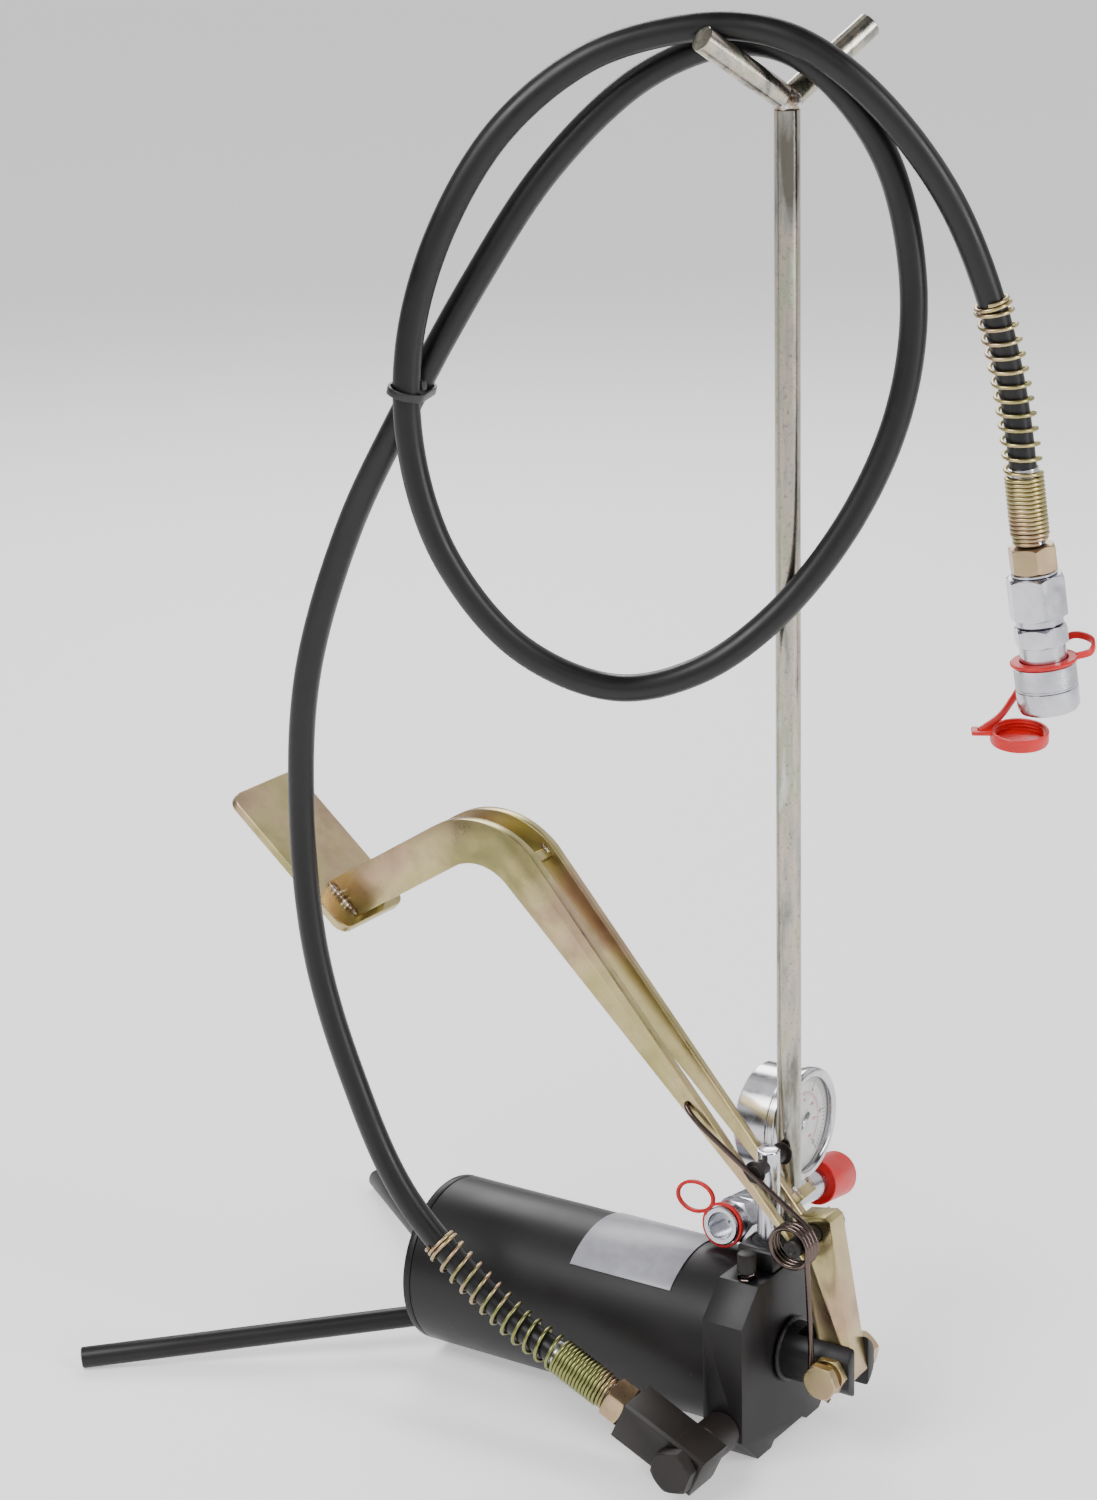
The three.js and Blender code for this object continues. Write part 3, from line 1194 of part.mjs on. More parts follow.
// Dust cap, strap and ring moulded in one. The ring lies on the collar; the strap leaves it on one side,
// arches over, and runs down behind the collar to the ear of the cap, which hangs with its open side up.
const capOpening = at(-0.026, -0.177, -0.984).normalize();
const capEarWay = at(0.756, 0.64, -0.135).normalize();
const capMouth = at(11.9, 10.7, collarEnd + 9);

function capShell() {
  const profile = [
    [0, 0], [CAP_RADIUS - 1, 0], [CAP_RADIUS, 1], [CAP_RADIUS, CAP_DEPTH],
    [CAP_RADIUS - CAP_WALL, CAP_DEPTH], [CAP_RADIUS - CAP_WALL, CAP_WALL], [0, CAP_WALL],
  ];
  const base = capMouth.clone().addScaledVector(capOpening, -CAP_DEPTH);
  return turned(profile, base, capOpening, 24);
}

// A flat ear level with the cap's rim.
function capEar() {
  const middle = capMouth.clone()
    .addScaledVector(capEarWay, CAP_RADIUS + EAR_LENGTH / 2 - CUT)
    .addScaledVector(capOpening, -CAP_WALL / 2);
  const x = capEarWay.clone().addScaledVector(capOpening, -capEarWay.dot(capOpening)).normalize();
  const basis = new THREE.Matrix4().makeBasis(x, capOpening.clone().cross(x), capOpening);
  const geometry = new THREE.BoxGeometry(EAR_LENGTH, EAR_WIDTH, CAP_WALL).applyMatrix4(basis);
  return solid(geometry.translate(middle.x, middle.y, middle.z));
}

function dustCap() {
  const ringZ = collarFrom - SEAT_GAP - STRAP_RING_HEIGHT / 2;
  const inner = COUPLER_NECK_RADIUS + 1.5 + RUN_GAP;
  const half = STRAP_RING_HEIGHT / 2;
  const ring = pipe(inner + STRAP_RING_WALL, inner, at(0, 0, ringZ - half), at(0, 0, ringZ + half), 24);
  const points = [
    at(-11.5, -9.7, ringZ),
    at(-20, -13, ringZ - 0.5),
    at(-26, -9, ringZ - 4),
    at(-24, 3, ringZ - 6),
    at(-16, 15.5, ringZ + 4),
    at(-6, 21, collarEnd - 12),
    at(4, 22.5, collarEnd - 3),
    at(14.7, 21.8, capMouth.z - 6),
    capMouth.clone()
      .addScaledVector(capEarWay, CAP_RADIUS + EAR_LENGTH / 2)
      .addScaledVector(capOpening, -CAP_WALL / 2),
  ];
  const strap = solid(wire(new THREE.CatmullRomCurve3(points), STRAP_RADIUS, 36, 8));
  return join(ring, strap, capEar(), capShell());
}

add('dust_cap', 'redPlastic', dustCap(), coupler);

// ------------------------------------------------------------------ gauge and tee

const tee = new THREE.Group();
tee.position.set(TEE_X, TEE_NEAR_Y, TEE_NEAR_Z);
tee.rotation.x = -TEE_LEAN;
group.add(tee);

const branchY = TEE_BRANCH;
const gaugeZ = GAUGE_STEM;
const teeBodyEnd = TEE_BODY_START + TEE_BODY_LENGTH;

function teeNipple() {
  const start = at(0, teeBodyEnd - CUT, 0);
  return rod(TEE_NIPPLE_RADIUS, start, at(0, teeBodyEnd + TEE_NIPPLE_LENGTH, 0), 20);
}

// The short nipple that carries the tee, screwed into the rear of the block on the head.
function portNipple() {
  const y = (PORT_NIPPLE_Y - TEE_NEAR_Y) / Math.cos(TEE_LEAN);
  return rod(PORT_NIPPLE_RADIUS, at(TEE_HALF - CUT, y, 0), at(blockRear - SEAT_GAP - TEE_X, y, 0), 16);
}

function teeBody() {
  const block = hexBar(2 * TEE_HALF, at(0, TEE_BODY_START, 0), at(0, teeBodyEnd, 0), Math.PI / 6);
  const branch = rod(TEE_HALF * 0.7, at(0, branchY, 0), at(0, branchY, TEE_HALF + 3), 16);
  const boreEnd = teeBodyEnd + TEE_NIPPLE_LENGTH + CUT;
  const bore = rod(PASSAGE_RADIUS, at(0, TEE_BODY_START - CUT, 0), at(0, boreEnd, 0), 16);
  const rise = rod(PASSAGE_RADIUS, at(0, branchY, 0), at(0, branchY, TEE_HALF + 4), 16);
  return cut(join(block, branch, teeNipple(), portNipple()), bore, rise);
}

function gaugeStem() {
  const seat = TEE_HALF + 3 + SEAT_GAP;
  const top = gaugeZ - GAUGE_CASE_RADIUS + GAUGE_WALL / 2;
  return hexBar(HEX_GAUGE, at(0, branchY, seat), at(0, branchY, top));
}

const dialX = ROD_X - ROD_RADIUS - GAUGE_ROD_GAP - TEE_X;
const caseFront = dialX - BEZEL_DEPTH;
const caseRear = caseFront - GAUGE_CASE_DEPTH;

function gaugeCase() {
  const inner = GAUGE_CASE_RADIUS - GAUGE_WALL;
  const profile = [
    [0, 0], [GAUGE_CASE_RADIUS - 2, 0], [GAUGE_CASE_RADIUS, 2], [GAUGE_CASE_RADIUS, GAUGE_CASE_DEPTH],
    [inner, GAUGE_CASE_DEPTH], [inner, GAUGE_WALL], [0, GAUGE_WALL],
  ];
  const shell = turned(profile, at(caseRear, branchY, gaugeZ), X_AXIS, 32);
  return join(shell, gaugeStem());
}

function gaugeBezel() {
  const lip = GLASS_RADIUS - 1.5;
  const profile = [
    [BEZEL_RADIUS - 1.5, SEAT_GAP], [BEZEL_RADIUS, 1.8], [BEZEL_RADIUS, BEZEL_DEPTH - 1.6],
    [BEZEL_RADIUS - 1.6, BEZEL_DEPTH], [lip, BEZEL_DEPTH], [lip, BEZEL_DEPTH - 1],
    [GLASS_RADIUS + SEAT_GAP, BEZEL_DEPTH - 1], [GLASS_RADIUS + SEAT_GAP, SEAT_GAP],
    [BEZEL_RADIUS - 1.5, SEAT_GAP],
  ];
  return turned(profile, at(caseFront, branchY, gaugeZ), X_AXIS, 32);
}

function disc(radius, rear, thickness, holeRadius = 0) {
  const from = at(rear, branchY, gaugeZ);
  const to = at(rear + thickness, branchY, gaugeZ);
  return holeRadius ? pipe(radius, holeRadius, from, to, 32) : rod(radius, from, to, 32);
}

const spindleRadius = 1.2;
const glassRear = dialX - 1 - SEAT_GAP - GLASS_THICKNESS;
const dialRear = dialX - DIAL_BACK;
const needleRear = dialRear + DIAL_THICKNESS + 0.7;

function needle() {
  const zeroAngle = -2.36; // down to the left as the operator sees it
  const tipHalf = 0.35;
  const rootHalf = 1.2;
  const shape = outline([
    [-rootHalf, -NEEDLE_TAIL], [rootHalf, -NEEDLE_TAIL], [rootHalf, 0], [tipHalf, NEEDLE_LENGTH],
    [-tipHalf, NEEDLE_LENGTH], [-rootHalf, 0],
  ]);
  const blade = slab(shape, 'x', 0, NEEDLE_THICKNESS);
  const hub = rod(3, at(0, 0, 0), at(NEEDLE_THICKNESS + 0.4, 0, 0), 16);
  const spindle = rod(spindleRadius, at(-DIAL_THICKNESS - 4, 0, 0), at(CUT / 2, 0, 0), 16);
  const whole = geometryOf(join(blade, hub, spindle));
  whole.rotateX(-zeroAngle + TEE_LEAN).translate(needleRear, branchY, gaugeZ);
  return solid(whole);
}

function fillPlug() {
  const x = (caseFront + caseRear) / 2;
  const profile = [[0, 0], [3.2, 0], [3.2, 1.6], [2.4, 2.2], [0, 2.2]];
  return turned(profile, at(x, branchY, gaugeZ + GAUGE_CASE_RADIUS + 0.15), Z_AXIS, 14);
}

add('gauge_tee', 'steel', teeBody(), tee);
add('gauge_case', 'steel', gaugeCase(), tee);
add('gauge_bezel', 'steel', gaugeBezel(), tee);
add('gauge_glass', 'glass', disc(GLASS_RADIUS, glassRear, GLASS_THICKNESS), tee);
add('gauge_dial', 'white', disc(GLASS_RADIUS, dialRear, DIAL_THICKNESS, spindleRadius + RUN_GAP), tee);
add('gauge_needle', 'blackOxide', needle(), tee);
add('gauge_fill_plug', 'rubber', fillPlug(), tee);

// A quick coupler on the near end of the tee, a capped nipple on the far end.
function teeCoupler() {
  const hexStart = 12;
  const hex = hexBar(2 * TEE_HALF, at(0, hexStart, 0), at(0, TEE_BODY_START - SEAT_GAP, 0), Math.PI / 6);
  const sleevePart = rod(TEE_HALF - 0.5, at(0, 0, 0), at(0, hexStart + CUT, 0), 24);
  const socket = rod(TEE_HALF - 4, at(0, -CUT, 0), at(0, hexStart - 2, 0), 20);
  return cut(join(hex, sleevePart), socket);
}

function teeCap() {
  const inner = TEE_NIPPLE_RADIUS + SEAT_GAP;
  const profile = [
    [inner, 0], [TEE_CAP_RADIUS, 0], [TEE_CAP_RADIUS, TEE_CAP_LENGTH - 1],
    [TEE_CAP_RADIUS - 1, TEE_CAP_LENGTH], [0, TEE_CAP_LENGTH],
    [0, TEE_CAP_LENGTH - CAP_WALL], [inner, TEE_CAP_LENGTH - CAP_WALL], [inner, 0],
  ];
  return turned(profile, at(0, TEE_CAP_START, 0), Y_AXIS, 24);
}

// The strap of the near coupler's cap: an open pear-shaped loop that stands up beside it.
function teeStrap() {
  const near = 1.8;
  const far = 4.2;
  const inner = TEE_HALF - 0.5 + RUN_GAP;
  const ring = pipe(inner + 1.6, inner, at(0, near, 0), at(0, far, 0), 16);
  const points = [];
  const segments = 12;
  for (let i = 0; i <= segments; i += 1) {
    const angle = -0.5 * Math.PI + (1.9 * Math.PI * i) / segments - 0.9;
    points.push(at(-18 + 11 * Math.cos(angle), (near + far) / 2, 12 + 8 * Math.sin(angle)));
  }
  const curve = new THREE.CatmullRomCurve3(points);
  return join(ring, solid(wire(curve, 1.3, 20, 6)));
}

add('tee_coupler', 'steel', teeCoupler(), tee);
add('tee_cap', 'redPlastic', teeCap(), tee);
add('tee_strap', 'redPlastic', teeStrap(), tee);

// ------------------------------------------------------------------ origin

// Without the hose and what is on it, the middle of the footprint becomes the origin.
const onHose = new Set([
  'hose', 'guard_spring_pump', 'guard_spring_free', 'cable_tie', 'hose_nut_free', 'coupler_adapter',
  'coupler_body', 'coupler_collar', 'dust_cap',
]);
group.updateMatrixWorld(true);
const bounds = new THREE.Box3();
group.traverse((node) => {
  if (node.isMesh && !onHose.has(node.name)) bounds.expandByObject(node, true);
});
const middle = bounds.getCenter(new THREE.Vector3());
group.position.set(-middle.x, -middle.y, -bounds.min.z);

export default group;
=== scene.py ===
# %% [markdown]
# # A foot-operated hydraulic pump
# This lesson dresses a finished mechanical model for a studio picture. The model arrives as a fixed
# frame: every plate, pin and tube already has its size and place, and nothing here moves or resizes it.
# Blender's share is what the eye meets: rounded edges, turned parts with real curvature, wound springs,
# a rubber hose, and the finishes of paint, zinc, steel, rubber and plastic.

import json
import math

import bpy
from mathutils import Matrix, Quaternion, Vector, noise


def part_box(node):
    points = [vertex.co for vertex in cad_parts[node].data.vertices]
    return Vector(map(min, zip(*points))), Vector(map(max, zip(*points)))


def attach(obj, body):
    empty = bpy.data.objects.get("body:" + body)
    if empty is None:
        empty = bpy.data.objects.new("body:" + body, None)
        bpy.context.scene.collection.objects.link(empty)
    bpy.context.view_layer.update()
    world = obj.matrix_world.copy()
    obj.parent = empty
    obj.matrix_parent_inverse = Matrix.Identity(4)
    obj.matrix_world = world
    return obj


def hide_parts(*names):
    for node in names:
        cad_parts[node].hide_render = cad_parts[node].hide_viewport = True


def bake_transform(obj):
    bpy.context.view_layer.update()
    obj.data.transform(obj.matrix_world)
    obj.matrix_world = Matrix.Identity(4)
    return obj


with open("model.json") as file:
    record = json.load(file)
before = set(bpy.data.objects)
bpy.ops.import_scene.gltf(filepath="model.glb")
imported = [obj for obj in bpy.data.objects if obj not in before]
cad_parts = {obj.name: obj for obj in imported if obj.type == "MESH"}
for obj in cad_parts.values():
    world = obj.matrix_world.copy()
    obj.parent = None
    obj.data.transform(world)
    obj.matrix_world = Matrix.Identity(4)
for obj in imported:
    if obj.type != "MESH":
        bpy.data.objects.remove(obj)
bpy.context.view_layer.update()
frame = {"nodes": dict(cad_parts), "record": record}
nodes = frame["nodes"]

# %% [markdown]
# ## Where things are
# The pump is measured from the front face of its head, on the floor, in the middle of its width. That
# point is read from the head's own box, so every place below is a distance from a face of the real part.
# Millimetres are how a fitter would call them out; one function turns them into metres.

# %% Places and bodies
HEAD_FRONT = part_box("pump_head")[1].x
MM = 0.001


def place(x, y, z):
    """A point in millimetres from the middle of the head's front face, at floor level."""
    return Vector((HEAD_FRONT + x * MM, y * MM, z * MM))


BODY_OF = {}
for body, names in frame["record"]["behaviour"]["bodies"].items():
    for name in names:
        BODY_OF[name] = body
SLOT_OF = {part["node"]: part["material_slot"] for part in frame["record"]["subparts"]}
print("head front at x =", round(HEAD_FRONT, 4))

# %% [markdown]
# ## Camera
# A long lens from about 1.7 m away keeps the upright rod straight and the tank's ellipse shallow. The
# camera stands in front of the pump, on the hose's side, a little above it. Its attitude is given as
# heading, pitch and roll, which is how a photographer would set a tripod head.

# %% Camera
CAMERA_PLACE = place(793.5, -1392.7, 882.4)
HEADING = math.radians(33.99)
PITCH = math.radians(-17.17)
ROLL = math.radians(1.396)
LENS = 79.55

camera_data = bpy.data.cameras.new("camera")
camera_data.lens = LENS
camera_data.sensor_width = 36
camera_data.clip_start = 0.05
camera_data.clip_end = 30
camera = bpy.data.objects.new("camera", camera_data)
bpy.context.scene.collection.objects.link(camera)
look = Vector((-math.sin(HEADING) * math.cos(PITCH), math.cos(HEADING) * math.cos(PITCH), math.sin(PITCH)))
level = look.to_track_quat("-Z", "Y")
camera.rotation_mode = "QUATERNION"
camera.rotation_quaternion = Quaternion(look, ROLL) @ level
camera.location = CAMERA_PLACE
bpy.context.scene.camera = camera
print("camera looks along", [round(c, 3) for c in look])

# %% [markdown]
# ## Nodes for finishes
# Every finish starts from a Principled shader. Constants sit on the shader's own sockets; only what
# really varies over the surface is linked. The helpers below each add one idea: a noise, a colour ramp,
# a bump. They read Object coordinates, so a pattern stays fixed to the metal.

# %% Finish helpers
def new_finish(name, color, roughness, metallic=0.0, **sockets):
    """A material with a Principled shader; extra sockets are set by name."""
    material = bpy.data.materials.new(name)
    material.use_nodes = True
    shader = material.node_tree.nodes["Principled BSDF"]
    shader.inputs["Base Color"].default_value = (*color, 1)
    shader.inputs["Roughness"].default_value = roughness
    shader.inputs["Metallic"].default_value = metallic
    for socket, value in sockets.items():
        shader.inputs[socket.replace("_", " ")].default_value = value
    return material


def add_noise(material, scale, detail=4, roughness=0.6, stretch=(1, 1, 1), turn=(0, 0, 0)):
    """Noise on Object coordinates; stretch below 1 draws it out along that axis."""
    tree = material.node_tree
    coords = tree.nodes.new("ShaderNodeTexCoord")
    mapping = tree.nodes.new("ShaderNodeMapping")
    mapping.inputs["Scale"].default_value = stretch
    mapping.inputs["Rotation"].default_value = turn
    pattern = tree.nodes.new("ShaderNodeTexNoise")
    pattern.inputs["Scale"].default_value = scale
    pattern.inputs["Detail"].default_value = detail
    pattern.inputs["Roughness"].default_value = roughness
    tree.links.new(coords.outputs["Object"], mapping.inputs["Vector"])
    tree.links.new(mapping.outputs["Vector"], pattern.inputs["Vector"])
    return pattern.outputs["Fac"]


def add_ramp(material, value, stops):
    """A colour ramp over a value: stops are (position, (r, g, b))."""
    ramp = material.node_tree.nodes.new("ShaderNodeValToRGB")
    elements = ramp.color_ramp.elements
    while len(elements) < len(stops):
        elements.new(0.5)
    for element, (position, color) in zip(elements, stops):
        element.position = position
        element.color = (*color, 1)
    material.node_tree.links.new(value, ramp.inputs["Fac"])
    return ramp.outputs["Color"]


def add_range(material, value, low, high, start=0.3, stop=0.7):
    """A value spread from low to high as the pattern runs from start to stop."""
    spread = material.node_tree.nodes.new("ShaderNodeMapRange")
    spread.inputs["From Min"].default_value = start
    spread.inputs["From Max"].default_value = stop
    spread.inputs["To Min"].default_value = low
    spread.inputs["To Max"].default_value = high
    material.node_tree.links.new(value, spread.inputs["Value"])
    return spread.outputs["Result"]


def add_mix(material, factor, first, second):
    """Two colours mixed by a factor."""
    mix = material.node_tree.nodes.new("ShaderNodeMix")
    mix.data_type = "RGBA"
    links = material.node_tree.links
    links.new(factor, mix.inputs[0])
    for socket, value in ((mix.inputs[6], first), (mix.inputs[7], second)):
        if isinstance(value, tuple):
            socket.default_value = (*value, 1)
        else:
            links.new(value, socket)
    return mix.outputs[2]


def add_bump(material, height, strength, distance=0.0002):
    """Bump from a height; several calls are chained one over the other."""
    tree = material.node_tree
    shader = tree.nodes["Principled BSDF"]
    bump = tree.nodes.new("ShaderNodeBump")
    bump.inputs["Strength"].default_value = strength
    bump.inputs["Distance"].default_value = distance
    tree.links.new(height, bump.inputs["Height"])
    for link in list(shader.inputs["Normal"].links):
        tree.links.new(link.from_socket, bump.inputs["Normal"])
    tree.links.new(bump.outputs["Normal"], shader.inputs["Normal"])


def link_finish(material, **outputs):
    """Links outputs to the shader's sockets by name."""
    shader = material.node_tree.nodes["Principled BSDF"]
    for socket, output in outputs.items():
        material.node_tree.links.new(output, shader.inputs[socket.replace("_", " ")])


# %% [markdown]
# ## Paint and oxide
# The head, tank and legs carry one coat of satin black, sprayed over machined steel. Up close it is never
# even: broad cloudy patches of slightly different gloss, a fine orange peel, dust and hairline scratches.
# Where an edge has been knocked, grey steel shows. That wear has its own material, which the bevels take.

# %% Black finishes
def black_coat(name, color, low_gloss, high_gloss, peel):
    coat = new_finish(name, color, 0.4, Specular_IOR_Level=0.32)
    clouds = add_noise(coat, 14, 5, 0.6)
    warm = tuple(c * 1.7 for c in color)
    tone = add_ramp(coat, clouds, [(0.35, color), (0.65, warm)])
    scratches = add_noise(coat, 420, 2, 0.7, stretch=(1, 0.06, 0.5), turn=(0.3, 0.5, 0.9))
    marks = add_range(coat, scratches, 0.0, 0.35, 0.735, 0.775)
    link_finish(coat, Base_Color=add_mix(coat, marks, tone, (0.16, 0.155, 0.15)))
    link_finish(coat, Roughness=add_range(coat, clouds, low_gloss, high_gloss))
    add_bump(coat, add_noise(coat, 900, 2, 0.5), peel, 0.00008)
    return coat


satin_black = black_coat("satin_black", (0.0065, 0.0055, 0.006), 0.36, 0.5, 0.12)
oiled_black = black_coat("oiled_black", (0.009, 0.0068, 0.006), 0.36, 0.52, 0.2)


def worn_edge():
    worn = new_finish("worn_edge", (0.03, 0.03, 0.03), 0.42, 0.3)
    chips = add_noise(worn, 160, 6, 0.75)
    bare = add_range(worn, chips, 0.0, 1.0, 0.5, 0.6)
    link_finish(worn, Base_Color=add_mix(worn, bare, (0.022, 0.021, 0.021), (0.2, 0.195, 0.19)))
    link_finish(worn, Metallic=add_range(worn, chips, 0.1, 0.9, 0.5, 0.6))
    return worn


edge_wear = worn_edge()

# %% [markdown]
# ## Zinc
# Two kinds of zinc plate are on this pump. The lever, link, nuts and hose springs are yellow-passivated:
# tan to olive, with a thin film that shifts to pink and green in large soft patches. The stand rod is
# clear-passivated: cold grey, mottled like frost, with faint drips of the same tints. Both are metals, so
# their colour is the colour of what they reflect; the tint sits in the base colour. The yellow plate also
# gets random darker olive-brown patches in its base colour: a painted dark reflection.

# %% Zinc finishes
def yellow_plate(name, fleck_scale=260, strength=1.0):
    plate = new_finish(name, (0.5, 0.42, 0.26), 0.3, 1.0)
    film = add_noise(plate, 11, 3, 0.55, turn=(0.4, 0.2, 0.7))
    stops = [
        (0.30, (0.20, 0.20, 0.075)),
        (0.42, (0.40, 0.34, 0.15)),
        (0.50, (0.50, 0.41, 0.215)),
        (0.57, (0.45, 0.31, 0.20)),
        (0.66, (0.23, 0.235, 0.09)),
    ]
    tint = add_ramp(plate, film, [(p, tuple(c * strength for c in color)) for p, color in stops])
    # Painted dark reflection: random patches mixed toward olive-brown in the base colour stand in for the dark
    # surroundings the plate reflects.
    painted_dark_reflection = add_range(plate, add_noise(plate, 60, 6, 0.7), 0.0, 0.35, 0.5, 0.75)
    toned = add_mix(plate, painted_dark_reflection, tint, (0.12, 0.10, 0.045))
    flecks = add_range(plate, add_noise(plate, fleck_scale * 5, 2, 0.6), 0.0, 0.8, 0.74, 0.78)
    link_finish(plate, Base_Color=add_mix(plate, flecks, toned, (0.75, 0.72, 0.62)))
    haze = add_noise(plate, 45, 5, 0.65)
    link_finish(plate, Roughness=add_range(plate, haze, 0.24, 0.42))
    add_bump(plate, add_noise(plate, fleck_scale, 4, 0.6), 0.18, 0.0001)
    add_bump(plate, add_noise(plate, 700, 2, 0.5, stretch=(1, 0.05, 1)), 0.1, 0.00006)
    return plate


yellow_zinc = yellow_plate("yellow_zinc")
yellow_wire = yellow_plate("yellow_wire", 500, 1.05)


def clear_plate():
    plate = new_finish("clear_zinc", (0.5, 0.5, 0.48), 0.24, 1.0)
    drips = add_noise(plate, 90, 5, 0.6, stretch=(1, 1, 0.18))
    stops = [
        (0.32, (0.16, 0.15, 0.125)),
        (0.44, (0.34, 0.33, 0.29)),
        (0.52, (0.46, 0.40, 0.33)),
        (0.60, (0.36, 0.37, 0.27)),
        (0.70, (0.56, 0.56, 0.53)),
    ]
    tint = add_ramp(plate, drips, stops)
    frost = add_range(plate, add_noise(plate, 420, 5, 0.75), 0.0, 0.6, 0.56, 0.66)
    link_finish(plate, Base_Color=add_mix(plate, frost, tint, (0.09, 0.09, 0.08)))
    link_finish(plate, Roughness=add_range(plate, drips, 0.16, 0.34))
    add_bump(plate, add_noise(plate, 600, 4, 0.7), 0.25, 0.00012)
    return plate


clear_zinc = clear_plate()

# %% [markdown]
# ## Bright and dark steel
# The coupler and the gauge are nickel and stainless steel: bright, with a trace of turning marks. The
# return spring is tempered wire, nearly black with a brown cast, and polished enough for hard highlights.
# Weld is a burnt brown bead with small silver spatter.

# %% Steel finishes
def bright_metal(name, color, low_gloss, high_gloss, ripple=0.08):
    steel = new_finish(name, color, 0.2, 1.0)
    haze = add_noise(steel, 120, 4, 0.6)
    link_finish(steel, Roughness=add_range(steel, haze, low_gloss, high_gloss))
    dull = tuple(c * 0.72 for c in color)
    link_finish(steel, Base_Color=add_ramp(steel, add_noise(steel, 60, 6, 0.7), [(0.3, dull), (0.6, color)]))
    add_bump(steel, add_noise(steel, 1500, 2, 0.5), ripple, 0.00005)
    return steel


bright_steel = bright_metal("bright_steel", (0.60, 0.60, 0.65), 0.14, 0.3, 0.2)
stainless = bright_metal("stainless", (0.62, 0.61, 0.64), 0.14, 0.24, 0.04)
spring_steel = bright_metal("spring_steel", (0.12, 0.088, 0.078), 0.16, 0.28, 0.06)
brass = bright_metal("brass", (0.62, 0.48, 0.22), 0.25, 0.4)


def weld_finish():
    bead = new_finish("weld_bead", (0.2, 0.15, 0.1), 0.35, 1.0)
    heat = add_noise(bead, 180, 4, 0.6)
    stops = [(0.35, (0.10, 0.06, 0.04)), (0.5, (0.34, 0.27, 0.2)), (0.66, (0.72, 0.72, 0.74))]
    link_finish(bead, Base_Color=add_ramp(bead, heat, stops))
    add_bump(bead, add_noise(bead, 500, 3, 0.6), 0.5, 0.0003)
    return bead


weld_bead = weld_finish()

# %% [markdown]
# ## Rubber, plastic, print and glass
# The hose is smooth extruded rubber, darker than paint and softer in its highlight. The caps are moulded
# plastic of a strong red, with a little light let in under the skin. The dial is matt white print.

# %% Soft and clear finishes
def hose_finish():
    rubber = new_finish("hose_rubber", (0.006, 0.0055, 0.006), 0.36, Specular_IOR_Level=0.36)
    smears = add_noise(rubber, 55, 5, 0.65)
    link_finish(rubber, Roughness=add_range(rubber, smears, 0.3, 0.46))
    dust = add_range(rubber, add_noise(rubber, 900, 2, 0.5), 0.0, 0.5, 0.76, 0.8)
    link_finish(rubber, Base_Color=add_mix(rubber, dust, (0.006, 0.0055, 0.006), (0.10, 0.095, 0.095)))
    add_bump(rubber, smears, 0.06, 0.0004)
    return rubber


def moulded(name, color, roughness, subsurface=0.0):
    plastic = new_finish(name, color, roughness, Subsurface_Weight=subsurface)
    plastic.node_tree.nodes["Principled BSDF"].inputs["Subsurface Scale"].default_value = 0.002
    shade = add_noise(plastic, 130, 3, 0.5)
    deep = tuple(c * 0.8 for c in color)
    link_finish(plastic, Base_Color=add_ramp(plastic, shade, [(0.3, deep), (0.7, color)]))
    link_finish(plastic, Roughness=add_range(plastic, shade, roughness * 0.85, roughness * 1.2))
    add_bump(plastic, add_noise(plastic, 700, 2, 0.5), 0.1, 0.0001)
    return plastic


hose_rubber = hose_finish()
seal_rubber = moulded("seal_rubber", (0.012, 0.012, 0.012), 0.6)
red_plastic = moulded("red_plastic", (0.62, 0.001, 0.002), 0.42, 0.04)
nylon = moulded("nylon", (0.014, 0.014, 0.015), 0.42)
dial_white = moulded("dial_white", (0.78, 0.77, 0.75), 0.5)
label_film = moulded("label_film", (0.36, 0.36, 0.40), 0.34)
ink_black = moulded("ink_black", (0.015, 0.015, 0.018), 0.5)
ink_red = moulded("ink_red", (0.55, 0.02, 0.02), 0.5)


def window_glass():
    glass = new_finish("window_glass", (1, 1, 1), 0.02, Transmission_Weight=1.0, IOR=1.2)
    smudge = add_noise(glass, 40, 3, 0.6)
    link_finish(glass, Roughness=add_range(glass, smudge, 0.0, 0.05))
    return glass


window = window_glass()

FINISHES = {
    "head_paint": satin_black, "tank_paint": satin_black, "yellow_zinc": yellow_zinc,
    "clear_zinc": clear_zinc, "bright_steel": bright_steel, "stainless": stainless,
    "black_oxide": oiled_black, "spring_steel": spring_steel, "hose_rubber": hose_rubber,
    "seal_rubber": seal_rubber, "red_plastic": red_plastic, "dial_white": dial_white,
    "window": window, "label_silver": label_film, "tie_plastic": nylon, "brass": brass,
}
for name, part in nodes.items():
    part.data.materials.clear()
    part.data.materials.append(FINISHES[SLOT_OF[name]])
print("finishes", len(FINISHES))

# %% [markdown]
# ## Working by hand
# These are the moves that make every piece. Nothing is selected at the start of a piece. A turned part is
# grown ring by ring: a circle is extruded and scaled, exactly as a profile is followed on a lathe. A flat
# part begins as a copy of the frame's own solid, whose loose triangles are merged into real faces, and
# then gets the small round on its edges that makes metal look cut, not drawn.

# %% Selecting and settling
def deselect():
    if bpy.context.object and bpy.context.object.mode != "OBJECT":
        bpy.ops.object.mode_set(mode="OBJECT")
    bpy.ops.object.select_all(action="DESELECT")


def take(piece):
    deselect()
    piece.select_set(True)
    bpy.context.view_layer.objects.active = piece
    return piece


def settle(piece, name, matrix=None):
    """Names the piece, and puts its place into its mesh."""
    take(piece)
    if matrix is not None:
        piece.matrix_world = matrix @ piece.matrix_world
    bpy.ops.object.transform_apply(location=True, rotation=True, scale=True)
    piece.name = name
    piece.data.name = name
    return piece


def smooth(piece, degrees=32):
    take(piece)
    bpy.ops.object.shade_smooth_by_angle(angle=math.radians(degrees))
    return piece


